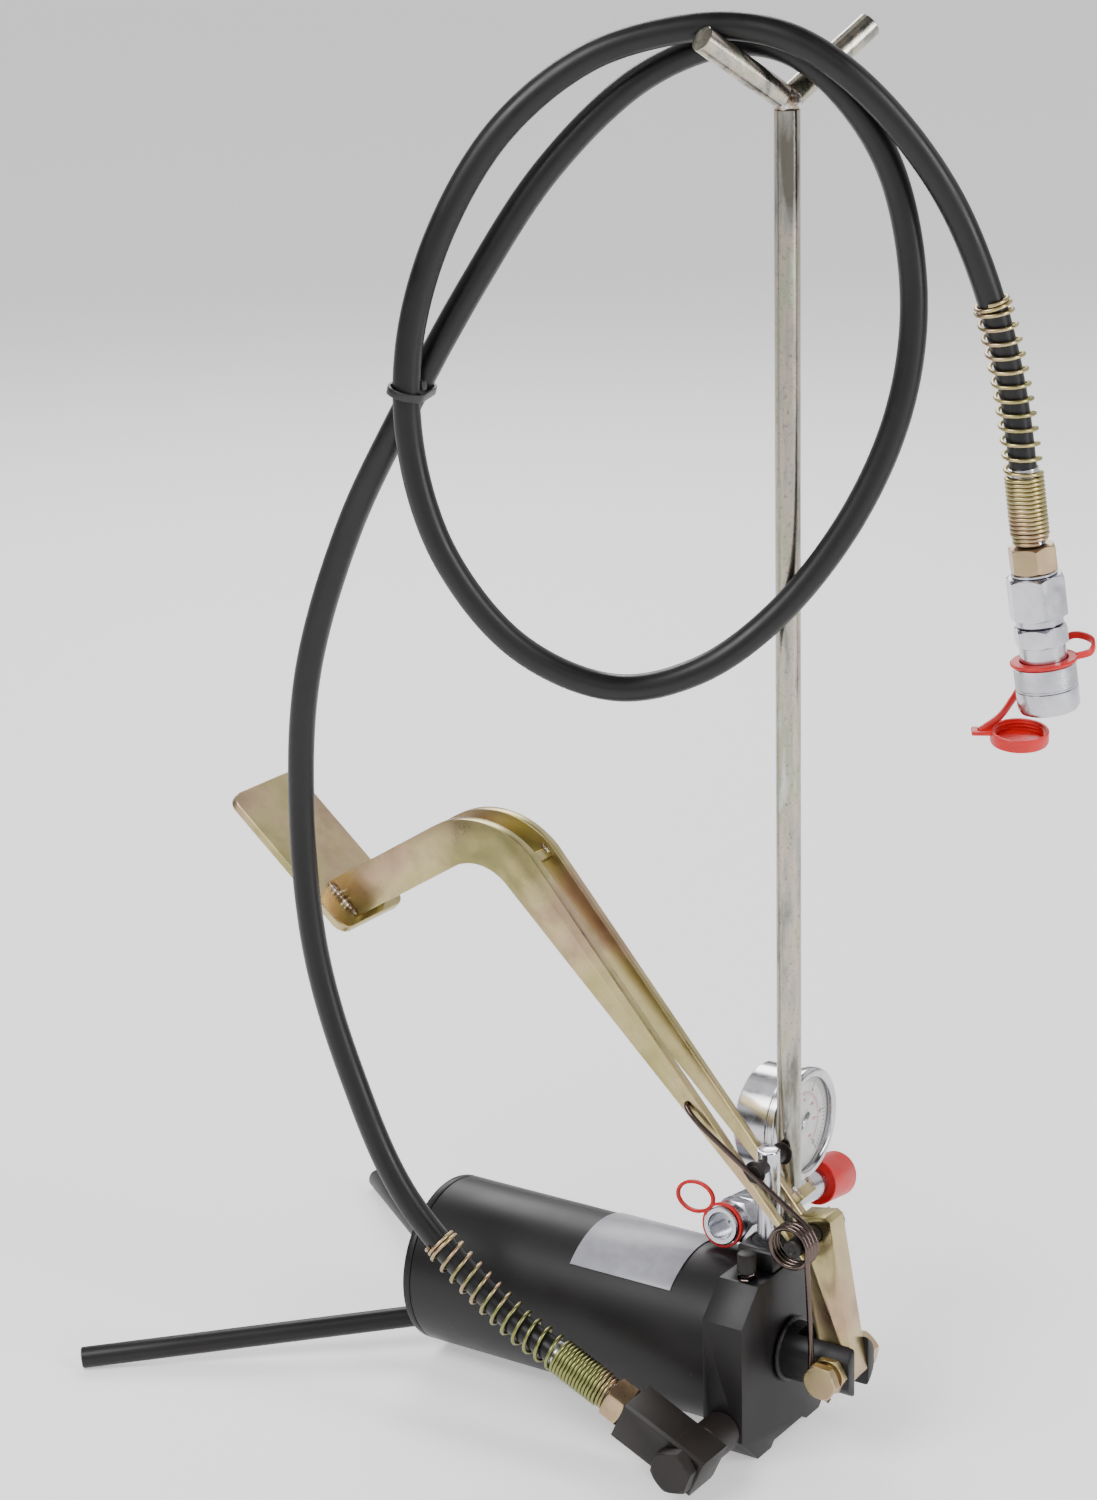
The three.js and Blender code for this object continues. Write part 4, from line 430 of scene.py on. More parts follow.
def aim(origin, direction, spin=0.0):
    """The matrix that takes a piece built up the Z axis to its origin and direction."""
    turn = Vector(direction).to_track_quat("Z", "Y").to_matrix().to_4x4()
    return Matrix.Translation(origin) @ turn @ Matrix.Rotation(spin, 4, "Z")


def give(piece, finish, node=None, body=None):
    """Finish, body, and the frame's part that the piece stands for."""
    piece.data.materials.clear()
    for material in finish if isinstance(finish, (list, tuple)) else [finish]:
        piece.data.materials.append(material)
    if node:
        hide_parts(node)
    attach(piece, body or BODY_OF[node])
    return piece


def apply_modifier(piece, kind, **settings):
    take(piece)
    modifier = piece.modifiers.new(kind.lower(), kind)
    for key, value in settings.items():
        setattr(modifier, key, value)
    bpy.ops.object.modifier_apply(modifier=modifier.name)
    return piece


# %% Turned pieces
def turned(name, profile, origin, direction, sides=72, spin=0.0, smooth_angle=32):
    """profile is (radius, height) in millimetres, from the first ring to the last."""
    deselect()
    radius, height = profile[0]
    bpy.ops.mesh.primitive_circle_add(vertices=sides, radius=radius * MM, location=(0, 0, height * MM))
    piece = bpy.context.object
    bpy.ops.object.transform_apply(location=True)
    bpy.ops.object.mode_set(mode="EDIT")
    bpy.ops.mesh.select_all(action="SELECT")
    for next_radius, next_height in profile[1:]:
        rise = (next_height - height) * MM
        bpy.ops.mesh.extrude_region_move(TRANSFORM_OT_translate={"value": (0, 0, rise)})
        grow = next_radius / radius
        bpy.ops.transform.resize(value=(grow, grow, 1), center_override=(0, 0, next_height * MM))
        radius, height = next_radius, next_height
    bpy.ops.mesh.select_all(action="SELECT")
    bpy.ops.mesh.remove_doubles(threshold=1e-6)
    bpy.ops.mesh.fill_holes(sides=0)
    bpy.ops.mesh.select_all(action="SELECT")
    bpy.ops.mesh.normals_make_consistent(inside=False)
    bpy.ops.object.mode_set(mode="OBJECT")
    settle(piece, name, aim(origin, direction, spin))
    return smooth(piece, smooth_angle)


# %% Flat pieces
def rounded_copy(node, name, width, segments=2, edge_material=-1, angle=30):
    """The frame's own solid with merged faces and rounded edges."""
    deselect()
    piece = nodes[node].copy()
    piece.data = nodes[node].data.copy()
    piece.parent = None
    piece.matrix_world = nodes[node].matrix_world.copy()
    for key in list(piece.keys()):
        del piece[key]
    bpy.context.scene.collection.objects.link(piece)
    take(piece)
    bpy.ops.object.mode_set(mode="EDIT")
    bpy.ops.mesh.select_all(action="SELECT")
    bpy.ops.mesh.remove_doubles(threshold=1e-6)
    bpy.ops.mesh.dissolve_limited(angle_limit=math.radians(0.7))
    bpy.ops.object.mode_set(mode="OBJECT")
    settle(piece, name)
    apply_modifier(
        piece, "BEVEL", width=width * MM, segments=segments, limit_method="ANGLE",
        angle_limit=math.radians(angle), material=edge_material, harden_normals=False,
    )
    return smooth(piece, 35)


# %% Hexagons
def hexagon(name, flats, length, origin, direction, spin=0.0, chamfer=True):
    """A hexagonal bar in millimetres, its corners turned off at both ends."""
    deselect()
    corner = flats / math.sqrt(3)
    bpy.ops.mesh.primitive_cylinder_add(
        vertices=6, radius=corner * MM, depth=length * MM, location=(0, 0, length / 2 * MM)
    )
    bar = bpy.context.object
    bpy.ops.object.transform_apply(location=True)
    apply_modifier(bar, "BEVEL", width=0.25 * MM, segments=2, limit_method="ANGLE")
    if chamfer:
        drop = (corner - flats / 2) * 0.75
        cone = [(flats / 2 - 0.2, 0), (corner + 0.05, drop), (corner + 0.05, length - drop), (flats / 2 - 0.2, length)]
        blank = turned(name + "_blank", cone, (0, 0, 0), (0, 0, 1), 72)
        apply_modifier(bar, "BOOLEAN", operation="INTERSECT", solver="EXACT", object=blank)
        bpy.data.objects.remove(blank)
    settle(bar, name, aim(origin, direction, spin))
    return smooth(bar, 25)


# %% Cutting
def cut_box(piece, low, high):
    """Takes a box out of a piece."""
    deselect()
    middle = (low + high) / 2
    bpy.ops.mesh.primitive_cube_add(size=1, location=middle, scale=high - low)
    tool = bpy.context.object
    bpy.ops.object.transform_apply(location=True, scale=True)
    apply_modifier(piece, "BOOLEAN", operation="DIFFERENCE", solver="EXACT", object=tool)
    bpy.data.objects.remove(tool)
    return piece


def weld_ring(name, centre, axis, radius, bead, waves, seed, squash=1.0):
    """A bead laid round a joint: a ring that swells and thins with each drop of the weld."""
    deselect()
    bpy.ops.mesh.primitive_torus_add(
        major_radius=radius * MM, minor_radius=bead * MM, major_segments=waves * 5, minor_segments=10
    )
    ring = bpy.context.object
    for vertex in ring.data.vertices:
        angle = math.atan2(vertex.co.y, vertex.co.x)
        core = Vector((math.cos(angle), math.sin(angle), 0)) * radius * MM
        ripple = 0.84 + 0.12 * abs(math.cos(waves * angle / 2)) ** 0.5
        ripple += 0.08 * noise.noise(vertex.co * 400 + Vector((seed, 0, 0)))
        vertex.co = core + (vertex.co - core) * ripple
        vertex.co.z *= squash
    settle(ring, name, aim(centre, axis))
    return smooth(ring, 60)


print("bench ready")

# %% [markdown]
# ## The hose's route
# A hose's length is a fact. It leaves the block, climbs behind the lever, goes over the fork, makes one
# full loop and hangs down in front. The route is forty listed points; a centripetal spline runs
# through them, which never cuts a corner or overshoots. The tube itself is a curve with a round bevel,
# because a curve keeps its own centreline to be measured by.

# %% Route
ROUTE = [
    (-94, -82.5, 59), (-123, -82.5, 72.5), (-186, -86, 128), (-219, -87, 193),
    (-240, -87, 261), (-248, -83, 343), (-240, -82, 415), (-213, -78, 492), (-176, -76, 557),
    (-146, -59, 617), (-114, -37, 674), (-78, -14, 715), (-50, 1, 731), (-29, 12, 735),
    (-8, 20, 730), (13, 28, 713), (34, 41, 675), (44, 48, 614), (40, 43, 558),
    (23, 28, 505), (-8, 6, 455), (-41, -17, 426), (-76, -41, 418), (-116, -66, 439),
    (-148, -83, 485), (-163, -89, 538), (-163, -88, 593), (-148, -79, 649), (-122, -61, 698),
    (-85, -38, 731), (-46, -14, 743), (-22, 0, 743), (0, 8, 737), (22, 18, 722),
    (45, 33, 694), (65, 48, 657), (79, 62, 610), (87, 73, 560), (95, 79, 486),
]
PORT = place(-12, -82.6, 21.5)
HOSE_SLOPE = 0.431
hose_axis = Vector((-math.cos(HOSE_SLOPE), 0, math.sin(HOSE_SLOPE)))
BLOCK_BEHIND = 40
HOSE_NUT = 12
hose_start = PORT + hose_axis * (BLOCK_BEHIND + 0.3 + HOSE_NUT + 0.3) * MM
route = [hose_start] + [place(*point) for point in ROUTE]


def spline_points(points, steps):
    """Centripetal spline through the points: each stretch is paced by the root of its length."""
    ends = [points[0] * 2 - points[1]] + points + [points[-1] * 2 - points[-2]]
    result = []
    for i in range(1, len(ends) - 2):
        p0, p1, p2, p3 = ends[i - 1], ends[i], ends[i + 1], ends[i + 2]
        d0, d1, d2 = ((p1 - p0).length ** 0.5, (p2 - p1).length ** 0.5, (p3 - p2).length ** 0.5)
        m1 = ((p1 - p0) / d0 - (p2 - p0) / (d0 + d1) + (p2 - p1) / d1) * d1
        m2 = ((p2 - p1) / d1 - (p3 - p1) / (d1 + d2) + (p3 - p2) / d2) * d1
        for step in range(steps):
            t = step / steps
            a = 2 * t**3 - 3 * t**2 + 1
            b = t**3 - 2 * t**2 + t
            result.append(a * p1 + b * m1 + (1 - a) * p2 + (t**3 - t**2) * m2)
    result.append(points[-1].copy())
    return result


hose_line = spline_points(route, 12)
hose_reach = [0.0]
for before, after in zip(hose_line, hose_line[1:]):
    hose_reach.append(hose_reach[-1] + (after - before).length)
HOSE_LENGTH = hose_reach[-1]
print("hose", round(HOSE_LENGTH, 4), "m")


def hose_at(distance):
    """Point and direction on the hose, at a distance in metres from the pump."""
    i = 1
    while i < len(hose_reach) - 1 and hose_reach[i] < distance:
        i += 1
    share = (distance - hose_reach[i - 1]) / (hose_reach[i] - hose_reach[i - 1])
    step = hose_line[i] - hose_line[i - 1]
    return hose_line[i - 1] + step * share, step.normalized()


# %% Hose tube
def tube_curve(name, points, radius, resolution=6, cyclic=False):
    """A poly curve with a round section, through points in metres."""
    data = bpy.data.curves.new(name, "CURVE")
    data.dimensions = "3D"
    data.bevel_depth = radius
    data.bevel_resolution = resolution
    data.use_fill_caps = True
    data.twist_mode = "MINIMUM"
    spline = data.splines.new("POLY")
    spline.points.add(len(points) - 1)
    for point, co in zip(spline.points, points):
        point.co = (*co, 1)
    spline.use_cyclic_u = cyclic
    spline.use_smooth = True
    curve = bpy.data.objects.new(name, data)
    bpy.context.scene.collection.objects.link(curve)
    return curve


HOSE_RADIUS = 7 * MM
hose = tube_curve("hose_tube", hose_line, HOSE_RADIUS, 7)
give(hose, hose_rubber, "hose")

# %% [markdown]
# ## Guard springs
# Each end of the hose is stiffened by a spring of plated wire, wound tight over the ferrule and open
# along the rubber, with two or three dead turns where it ends. It is a helix whose axis is the hose
# itself: at every step the hose's direction gives a frame, and the wire walks round it. The pitch follows
# the real winding, so the turn count comes out of the lengths.

# %% Guard springs
GUARD_WIRE = 2.1
GUARD_MEAN = 9.0
GUARD_LENGTH = 127.4
GUARD_TIGHT = 36
GUARD_PITCH = 7.6


def guard_pitch(along):
    """Pitch in millimetres at a distance from the nut."""
    if 5 < along < 8 or along > GUARD_LENGTH - 6:
        return GUARD_WIRE * 1.12
    if along < GUARD_TIGHT:
        return GUARD_WIRE * 1.03
    return GUARD_PITCH


def guard_spring(name, node, from_pump):
    points = []
    along, angle = GUARD_WIRE / 2 + 0.4, 0.6
    steps_per_turn = 18
    side = None
    while along < GUARD_LENGTH - GUARD_WIRE / 2:
        reach = along * MM if from_pump else HOSE_LENGTH - along * MM
        centre, direction = hose_at(reach)
        if side is None:
            side = direction.cross(Vector((0, 1, 0))).normalized()
        side = (side - direction * side.dot(direction)).normalized()
        up = direction.cross(side)
        radius = GUARD_MEAN - (0.75 if along < 5 or along > GUARD_LENGTH - 4 else 0)
        points.append(centre + (side * math.cos(angle) + up * math.sin(angle)) * radius * MM)
        angle += 2 * math.pi / steps_per_turn
        along += guard_pitch(along) / steps_per_turn
    spring = tube_curve(name, points, GUARD_WIRE / 2 * MM, 3)
    take(spring)
    bpy.ops.object.convert(target="MESH")
    spring = bpy.context.object
    give(spring, yellow_wire, node)
    print(name, "points", len(points), "tris", len(spring.data.polygons) * 2)
    return spring


spring_pump = guard_spring("guard_spring_near_pump", "guard_spring_pump", True)
spring_free = guard_spring("guard_spring_near_coupler", "guard_spring_free", False)


def ferrule(name, start, end):
    """The crimped shell under the spring, with its bands."""
    first, direction = hose_at(start)
    length = (hose_at(end)[0] - first).length / MM
    profile = [(7.1, 0), (7.75, 0.4)]
    bands = 8
    for i in range(bands):
        base = 1 + (length - 2) * i / bands
        step = (length - 2) / bands
        profile += [(7.8, base), (7.8, base + step * 0.6), (7.5, base + step * 0.7), (7.5, base + step * 0.95)]
    profile += [(7.75, length - 0.6), (7.1, length)]
    piece = turned(name, profile, first, hose_at(end)[0] - first, 48)
    return give(piece, bright_steel, body="pump")


shell_pump = ferrule("ferrule_near_pump", 0.0004, 0.040)
shell_free = ferrule("ferrule_near_coupler", HOSE_LENGTH - 0.040, HOSE_LENGTH - 0.0004)

# %% [markdown]
# ## Cable tie
# One black tie holds the rising strand against the loop where they cross. It is a flat band: a ring round
# both strands, with the square lock at one side.

# %% Cable tie
tie_low, tie_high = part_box("cable_tie")
tie = rounded_copy("cable_tie", "tie_band", 0.4, 2)
give(tie, nylon, "cable_tie")
tie_middle = (tie_low + tie_high) / 2
deselect()
bpy.ops.mesh.primitive_cube_add(size=1, location=tie_middle + Vector((7, -2, 3)) * MM, scale=(5 * MM, 4 * MM, 5 * MM))
tie_lock = settle(bpy.context.object, "tie_lock")
apply_modifier(tie_lock, "BEVEL", width=0.8 * MM, segments=3)
give(smooth(tie_lock), nylon, body="pump")

# %% [markdown]
# ## Coupler on the free end
# From the hose down: a yellow nut, a washer, a long bright hexagon, a short one, a waist with the cap's
# ring round it, and the sliding collar. The collar's upper half is knurled for grip. The knurl is real
# relief: the ring's points are pushed in and out on two crossing spirals.

# %% Coupler body
end_point, end_axis = hose_at(HOSE_LENGTH)
end_axis = (route[-1] - hose_line[-3]).normalized()


def on_coupler(distance):
    return end_point + end_axis * distance * MM


NUT_LENGTH = 15
ADAPTER_START = 15.6
ADAPTER_LENGTH = 26
BODY_START = 41.9
BODY_HEX_LENGTH = 10
COLLAR_START = 61.9
COLLAR_LENGTH = 25

free_nut = hexagon("free_nut", 22, NUT_LENGTH - 1.6, on_coupler(0.3), end_axis, 0.5)
give(free_nut, yellow_zinc, "hose_nut_free")
washer = turned("free_washer", [(6, 13.8), (11.2, 13.8), (11.6, 14.2), (11.6, 15.0), (11.2, 15.4), (6, 15.4)], end_point, end_axis)
give(washer, bright_steel, body="pump")
adapter_hex = hexagon("adapter_hexagon", 27, 22, on_coupler(ADAPTER_START), end_axis, 0.5)
give(adapter_hex, bright_steel, "coupler_adapter")
adapter_neck = turned(
    "adapter_neck", [(9, 21.6), (12.2, 21.8), (12.2, 25), (11.6, 25.7), (9, 25.9)],
    on_coupler(ADAPTER_START), end_axis,
)
give(adapter_neck, bright_steel, body="pump")
body_hex = hexagon("body_hexagon", 25, BODY_HEX_LENGTH, on_coupler(BODY_START), end_axis, 0.5)
give(body_hex, bright_steel, "coupler_body")
waist = [(8.9, 9), (11.9, 9.2), (11.9, 43.2), (11.2, 43.9), (9.2, 43.9), (8.9, 43.4), (8.9, 26), (3, 24), (3, 22), (8.9, 9)]
body_waist = turned("body_waist", waist, on_coupler(BODY_START), end_axis)
give(body_waist, bright_steel, body="pump")
poppet = turned("body_poppet", [(0.4, 24.5), (4.5, 24.5), (5.4, 26), (5.4, 34), (4.6, 35), (0.4, 35.4)], on_coupler(BODY_START), end_axis)
give(poppet, stainless, body="pump")


# %% Collar with its knurl
KNURL_FROM, KNURL_TO = 1.4, 11.4
KNURL_ROWS = 28
KNURL_TEETH = 66
collar_profile = [(12.4, 0.0), (15.2, 0.0), (15.8, 0.7), (15.8, KNURL_FROM)]
collar_profile += [
    (15.9, KNURL_FROM + (KNURL_TO - KNURL_FROM) * (row + 1) / KNURL_ROWS) for row in range(KNURL_ROWS)
]
collar_profile += [
    (15.4, 11.9), (15.4, 12.6), (15.9, 13.1), (15.9, 22.4), (14.6, 24.6), (13.8, 24.95), (12.4, 24.95), (12.4, 0.0),
]
collar = turned("collar_sleeve", collar_profile, (0, 0, 0), (0, 0, 1), 330)
for vertex in collar.data.vertices:
    height = vertex.co.z / MM
    radius = math.hypot(vertex.co.x, vertex.co.y) / MM
    if radius > 15.5 and KNURL_FROM < height < KNURL_TO:
        angle = math.atan2(vertex.co.y, vertex.co.x)
        twist = height * KNURL_TEETH / (2 * math.pi * 15.9) * 2 * math.pi
        crossing = max(abs(math.sin((KNURL_TEETH * angle + twist) / 2)), abs(math.sin((KNURL_TEETH * angle - twist) / 2)))
        vertex.co.x *= 1 - 0.028 * (1 - crossing)
        vertex.co.y *= 1 - 0.028 * (1 - crossing)
settle(collar, "collar_sleeve", aim(on_coupler(COLLAR_START), end_axis))
give(smooth(collar, 50), bright_steel, "coupler_collar")

# %% [markdown]
# ## Red dust cap
# Ring, strap and cup are one soft moulding. The ring lies on the collar and moves with it. The strap
# arches out of the ring, runs down behind the sleeve and ends in a flat ear on the cup. The cup hangs with
# its mouth up, so it is turned with the ridges that its inner wall really has.

# %% Dust cap
cap_turn = Vector((0, 0, 1)).rotation_difference(end_axis)


def in_coupler(x, y, z):
    return end_point + cap_turn @ (Vector((x, y, z)) * MM)


CAP_DEPTH = 7
cap_open = (cap_turn @ Vector((-0.026, -0.177, -0.984))).normalized()
cap_ear_way = (cap_turn @ Vector((0.756, 0.64, -0.135))).normalized()
cap_ear_way = (cap_ear_way - cap_open * cap_ear_way.dot(cap_open)).normalized()
cap_mouth = in_coupler(11.9, 10.7, 95.9)
cup_profile = [(0.3, 0.0), (13.6, 0.0), (14.6, 0.4), (14.95, 1.2), (14.95, 6.6), (14.6, 6.95), (13.6, 6.95), (13.1, 6.5)]
for turn_number in range(2):
    top = 5.9 - turn_number * 1.8
    cup_profile += [(13.1, top), (12.4, top - 0.5), (12.4, top - 0.9), (13.1, top - 1.4)]
cup_profile += [(13.0, 2.2), (12.6, 1.9), (9, 1.9), (8.6, 1.7), (0.3, 1.7)]
cap_cup = turned("cap_cup", cup_profile, cap_mouth - cap_open * CAP_DEPTH * MM, cap_open, 72)
give(cap_cup, red_plastic, "dust_cap")
RING_PLACE = 60.6
ring_profile = [(12.6, -0.9), (16.8, -0.9), (17.3, -0.4), (17.3, 0.4), (16.8, 0.9), (12.6, 0.9), (12.6, -0.9)]
cap_ring = turned("cap_ring", ring_profile, on_coupler(RING_PLACE), end_axis)
give(cap_ring, red_plastic, body="collar")
deselect()
bpy.ops.mesh.primitive_cube_add(size=1, scale=(11 * MM, 8.6 * MM, 1.9 * MM))
cap_ear = bpy.context.object
ear_side = cap_open.cross(cap_ear_way)
ear_turn = Matrix((cap_ear_way, ear_side, cap_open)).transposed().to_4x4()
ear_place = cap_mouth + cap_ear_way * 19 * MM - cap_open * 1.1 * MM
bpy.ops.object.transform_apply(scale=True)
apply_modifier(cap_ear, "BEVEL", width=0.8 * MM, segments=3)
settle(cap_ear, "cap_ear", Matrix.Translation(ear_place) @ ear_turn)
give(smooth(cap_ear), red_plastic, body="collar")


def ribbon(name, points, width, thickness, across, finish, body):
    """A flat moulded strap along points in metres; across is the direction of its width."""
    deselect()
    line = spline_points(points, 8)
    bpy.ops.mesh.primitive_plane_add(size=1)
    strip = bpy.context.object
    strip.data.clear_geometry()
    corners, faces = [], []
    for i, point in enumerate(line):
        ahead = (line[min(i + 1, len(line) - 1)] - line[max(i - 1, 0)]).normalized()
        wide = (across - ahead * across.dot(ahead)).normalized()
        high = ahead.cross(wide)
        for k in range(12):
            angle = 2 * math.pi * k / 12
            a, b = math.cos(angle), math.sin(angle)
            a = math.copysign(abs(a) ** 0.5, a) * width / 2 * MM
            b = math.copysign(abs(b) ** 0.5, b) * thickness / 2 * MM
            corners.append(point + wide * a + high * b)
    for i in range(len(line) - 1):
        for k in range(12):
            faces.append((i * 12 + k, i * 12 + (k + 1) % 12, i * 12 + 12 + (k + 1) % 12, i * 12 + 12 + k))
    faces.append(tuple(range(11, -1, -1)))
    faces.append(tuple(len(line) * 12 - 12 + k for k in range(12)))
    strip.data.from_pydata(corners, [], faces)
    take(strip)
    bpy.ops.object.mode_set(mode="EDIT")
    bpy.ops.mesh.select_all(action="SELECT")
    bpy.ops.mesh.normals_make_consistent(inside=False)
    bpy.ops.object.mode_set(mode="OBJECT")
    settle(strip, name)
    return give(smooth(strip, 50), finish, body=body)


strap_points = [
    in_coupler(-12.5, -10.6, 60.6), in_coupler(-20, -13, 60.1), in_coupler(-26, -9, 56.6),
    in_coupler(-24, 3, 54.6), in_coupler(-16, 15.5, 64.6), in_coupler(-6, 21, 74.9),
    in_coupler(4, 22.5, 83.9), in_coupler(14.7, 21.8, 89.9),
    cap_mouth + cap_ear_way * 20.5 * MM - cap_open * MM,
]
cap_strap = ribbon("cap_strap", strap_points, 3.8, 1.9, end_axis, red_plastic, "collar")

# %% [markdown]
# ## Head, block and boss
# The head is a milled block, so its faces are flat and its edges carry a narrow broken chamfer. The bevel
# modifier can give its new faces a second material, and that is where the worn paint goes.

# %% Head and blocks
HEAD_BEVEL = 0.8
head = rounded_copy("pump_head", "head_block", HEAD_BEVEL, 2, 1)
give(head, [satin_black, edge_wear], "pump_head")
block = rounded_copy("top_block", "guide_block", 0.5, 2, 1)
give(block, [satin_black, edge_wear], "top_block")
hose_block = rounded_copy("hose_block", "banjo_block", 0.7, 2, 1)
give(hose_block, [oiled_black, edge_wear], "hose_block")
print("head tris", len(head.data.polygons))

# %% Clevis boss
BOSS_Z = 51
BOSS_RADIUS = 16
boss_profile = [(0.5, 0.3), (15.6, 0.3), (15.9, 3), (15.9, 42.6), (15.4, 43.6), (14.4, 44), (0.5, 44)]
boss = turned("clevis_round", boss_profile, place(0, 0, BOSS_Z), (1, 0, 0), 96)
cut_box(boss, place(10, -7.6, 30), place(46, 7.6, 75))
cut_box(boss, place(22.8, -20, 30), place(46, -14, 75))
cut_box(boss, place(22.8, 14, 30), place(46, 20, 75))
apply_modifier(boss, "BEVEL", width=0.5 * MM, segments=2, limit_method="ANGLE", angle_limit=math.radians(40))
give(smooth(boss, 35), satin_black, "clevis_boss")
boss_weld = weld_ring("clevis_weld", place(2.1, 0, BOSS_Z), (1, 0, 0), 15.9, 2.3, 30, 3.0, 0.75)
give(boss_weld, [satin_black], body="pump")
for face in boss_weld.data.polygons:
    face.material_index = 0

# %% [markdown]
# ## Bolt, nuts and pins
# A bolt head is a hexagon with its corners turned off in a cone, which leaves the curved edges that make
# it read as a bolt. The pins are turned, with a lead on each end.

# %% Clevis bolt
CLEVIS_X = 33.5
bolt_head = hexagon("clevis_bolt_head", 18, 5.3, place(CLEVIS_X, -27.4, BOSS_Z), (0, 1, 0), 0.62)
give(bolt_head, yellow_zinc, "clevis_bolt")
bolt_shank = turned(
    "clevis_bolt_shank", [(0.5, -22.4), (6, -22.4), (6, 22.2), (5.5, 22.6), (6, 23), (5.5, 23.4), (6, 23.8), (5.2, 24.7), (0.5, 24.7)],
    place(CLEVIS_X, 0, BOSS_Z), (0, 1, 0),
)
give(bolt_shank, yellow_zinc, body="pump")
jam_nut = hexagon("clevis_thin_nut", 18, 4, place(CLEVIS_X, -18.3, BOSS_Z), (0, 1, 0), 0.5)
give(jam_nut, yellow_zinc, "clevis_jam_nut")
lock_nut = hexagon("clevis_far_nut", 18, 7.4, place(CLEVIS_X, 14.3, BOSS_Z), (0, 1, 0), 0.2)
give(lock_nut, yellow_zinc, "clevis_locknut")

# %% Lever pins
LINK_TOP = (19.2, 125.5)
link_pin = turned(
    "lever_pin",
    [(0.4, -30.4), (1.9, -30.3), (2.6, -30.9), (4.2, -30.9), (5, -30.1), (5, 14.9), (4.6, 15.3), (0.4, 15.3)],
    place(LINK_TOP[0], 0, LINK_TOP[1]), (0, 1, 0), 48,
)
give(link_pin, oiled_black, "link_pin")
PLUNGER_X = -12
PLUNGER_PIN_Z = 155.73
pin_profile = [
    (0.4, -15.1), (3.5, -15.1), (4, -14.7), (4, -14.75), (6.1, -14.7), (6.1, -13.65), (4, -13.6),
    (4, 13.6), (6.1, 13.65), (6.1, 14.7), (4, 14.75), (4, 14.8), (3.5, 15.1), (0.4, 15.1),
]
plunger_pin = turned("plunger_cross_pin", pin_profile, place(PLUNGER_X, 0, PLUNGER_PIN_Z), (0, 1, 0), 48)
give(plunger_pin, oiled_black, "plunger_pin")
plunger = turned(
    "plunger_rod",
    [(0.4, 50), (5.4, 50), (6.2, 50.8), (6.2, 162.8), (5.8, 163.4), (5.2, 163.5), (4.6, 163.1), (2.5, 162.9), (0.4, 162.8)],
    place(PLUNGER_X, 0, 0), (0, 0, 1),
)
give(plunger, bright_steel, "plunger")
release = turned(
    "release_knob",
    [(0.4, 45), (3, 48), (3, 103.4), (4.7, 103.4), (5, 103.8), (5, 113.3), (4.6, 114), (4.0, 114.25), (0.4, 114.25)],
    place(-11, -25, 0), (0, 0, 1), 64,
)
give(release, oiled_black, "release_button")

# %% [markdown]
# ## Lever, link and pedal
# The lever is two flat bars, sheared and bent cold, then plated. The copies keep the frame's outline. The
# pedal plate and the two spacers are welded in, so beads run along the joints.

# %% Lever
for node, label in (("lever_bar_near", "bar_near"), ("lever_bar_far", "bar_far")):
    give(rounded_copy(node, label, 0.45, 2), yellow_zinc, node)
give(rounded_copy("link", "link_bar", 0.45, 2), yellow_zinc, "link")
give(rounded_copy("pedal_plate", "pedal", 0.35, 2, -1, 50), yellow_zinc, "pedal_plate")
for node, label in (("lever_spacer_heel", "spacer_heel"), ("lever_spacer_bend", "spacer_bend")):
    give(rounded_copy(node, label, 0.5, 2), yellow_zinc, node)


def weld_line(name, start, end, bead, drops, seed, body):
    """A straight run of weld: a capped rod whose skin swells with every drop."""
    deselect()
    length = (end - start).length
    bpy.ops.mesh.primitive_uv_sphere_add(segments=12, ring_count=drops * 4, radius=1)
    run = bpy.context.object
    for vertex in run.data.vertices:
        along = math.asin(max(-1, min(1, vertex.co.z))) / math.pi + 0.5
        width = math.hypot(vertex.co.x, vertex.co.y)
        flat = min(1.0, width * 3)
        ripple = 0.8 + 0.2 * abs(math.sin(drops * math.pi * along))
        ripple += 0.12 * noise.noise(Vector((seed, along * 9, vertex.co.x)))
        unit = Vector((vertex.co.x, vertex.co.y, 0)) / max(width, 1e-6)
        vertex.co = unit * flat * ripple * bead * MM
        vertex.co.z = along * length
    settle(run, name, aim(start, end - start))
    return give(smooth(run, 70), weld_bead, body=body)


PEDAL_SLOPE = 0.712
pedal_along = Vector((math.cos(PEDAL_SLOPE), 0, -math.sin(PEDAL_SLOPE)))
pedal_out = Vector((math.sin(PEDAL_SLOPE), 0, math.cos(PEDAL_SLOPE)))
toe = place(-277.5, 0, 259.9)
for side, seed in ((-1, 1.0), (1, 5.0)):
    row = Vector((0, side * 13.9 * MM, 0))
    start = toe - pedal_along * 12.5 * MM + pedal_out * 0.9 * MM + row
    end = toe + pedal_along * 12.5 * MM + pedal_out * 0.9 * MM + row
    weld_line("pedal_weld_" + ("near" if side < 0 else "far"), start, end, 1.9, 9, seed, "lever")
bend_low, bend_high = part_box("lever_spacer_bend")
bend_middle = (bend_low + bend_high) / 2
for side, seed in ((-1, 2.0), (1, 7.0)):
    row = Vector((0, side * 6.9 * MM, 3.4 * MM))
    tilt = Vector((-0.72, 0, 0.69)) * 3.4 * MM
    weld_line("bend_weld_" + ("near" if side < 0 else "far"), bend_middle + row - tilt, bend_middle + row + tilt, 1.3, 4, seed, "lever")
heel_low, heel_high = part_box("lever_spacer_heel")
heel_middle = (heel_low + heel_high) / 2
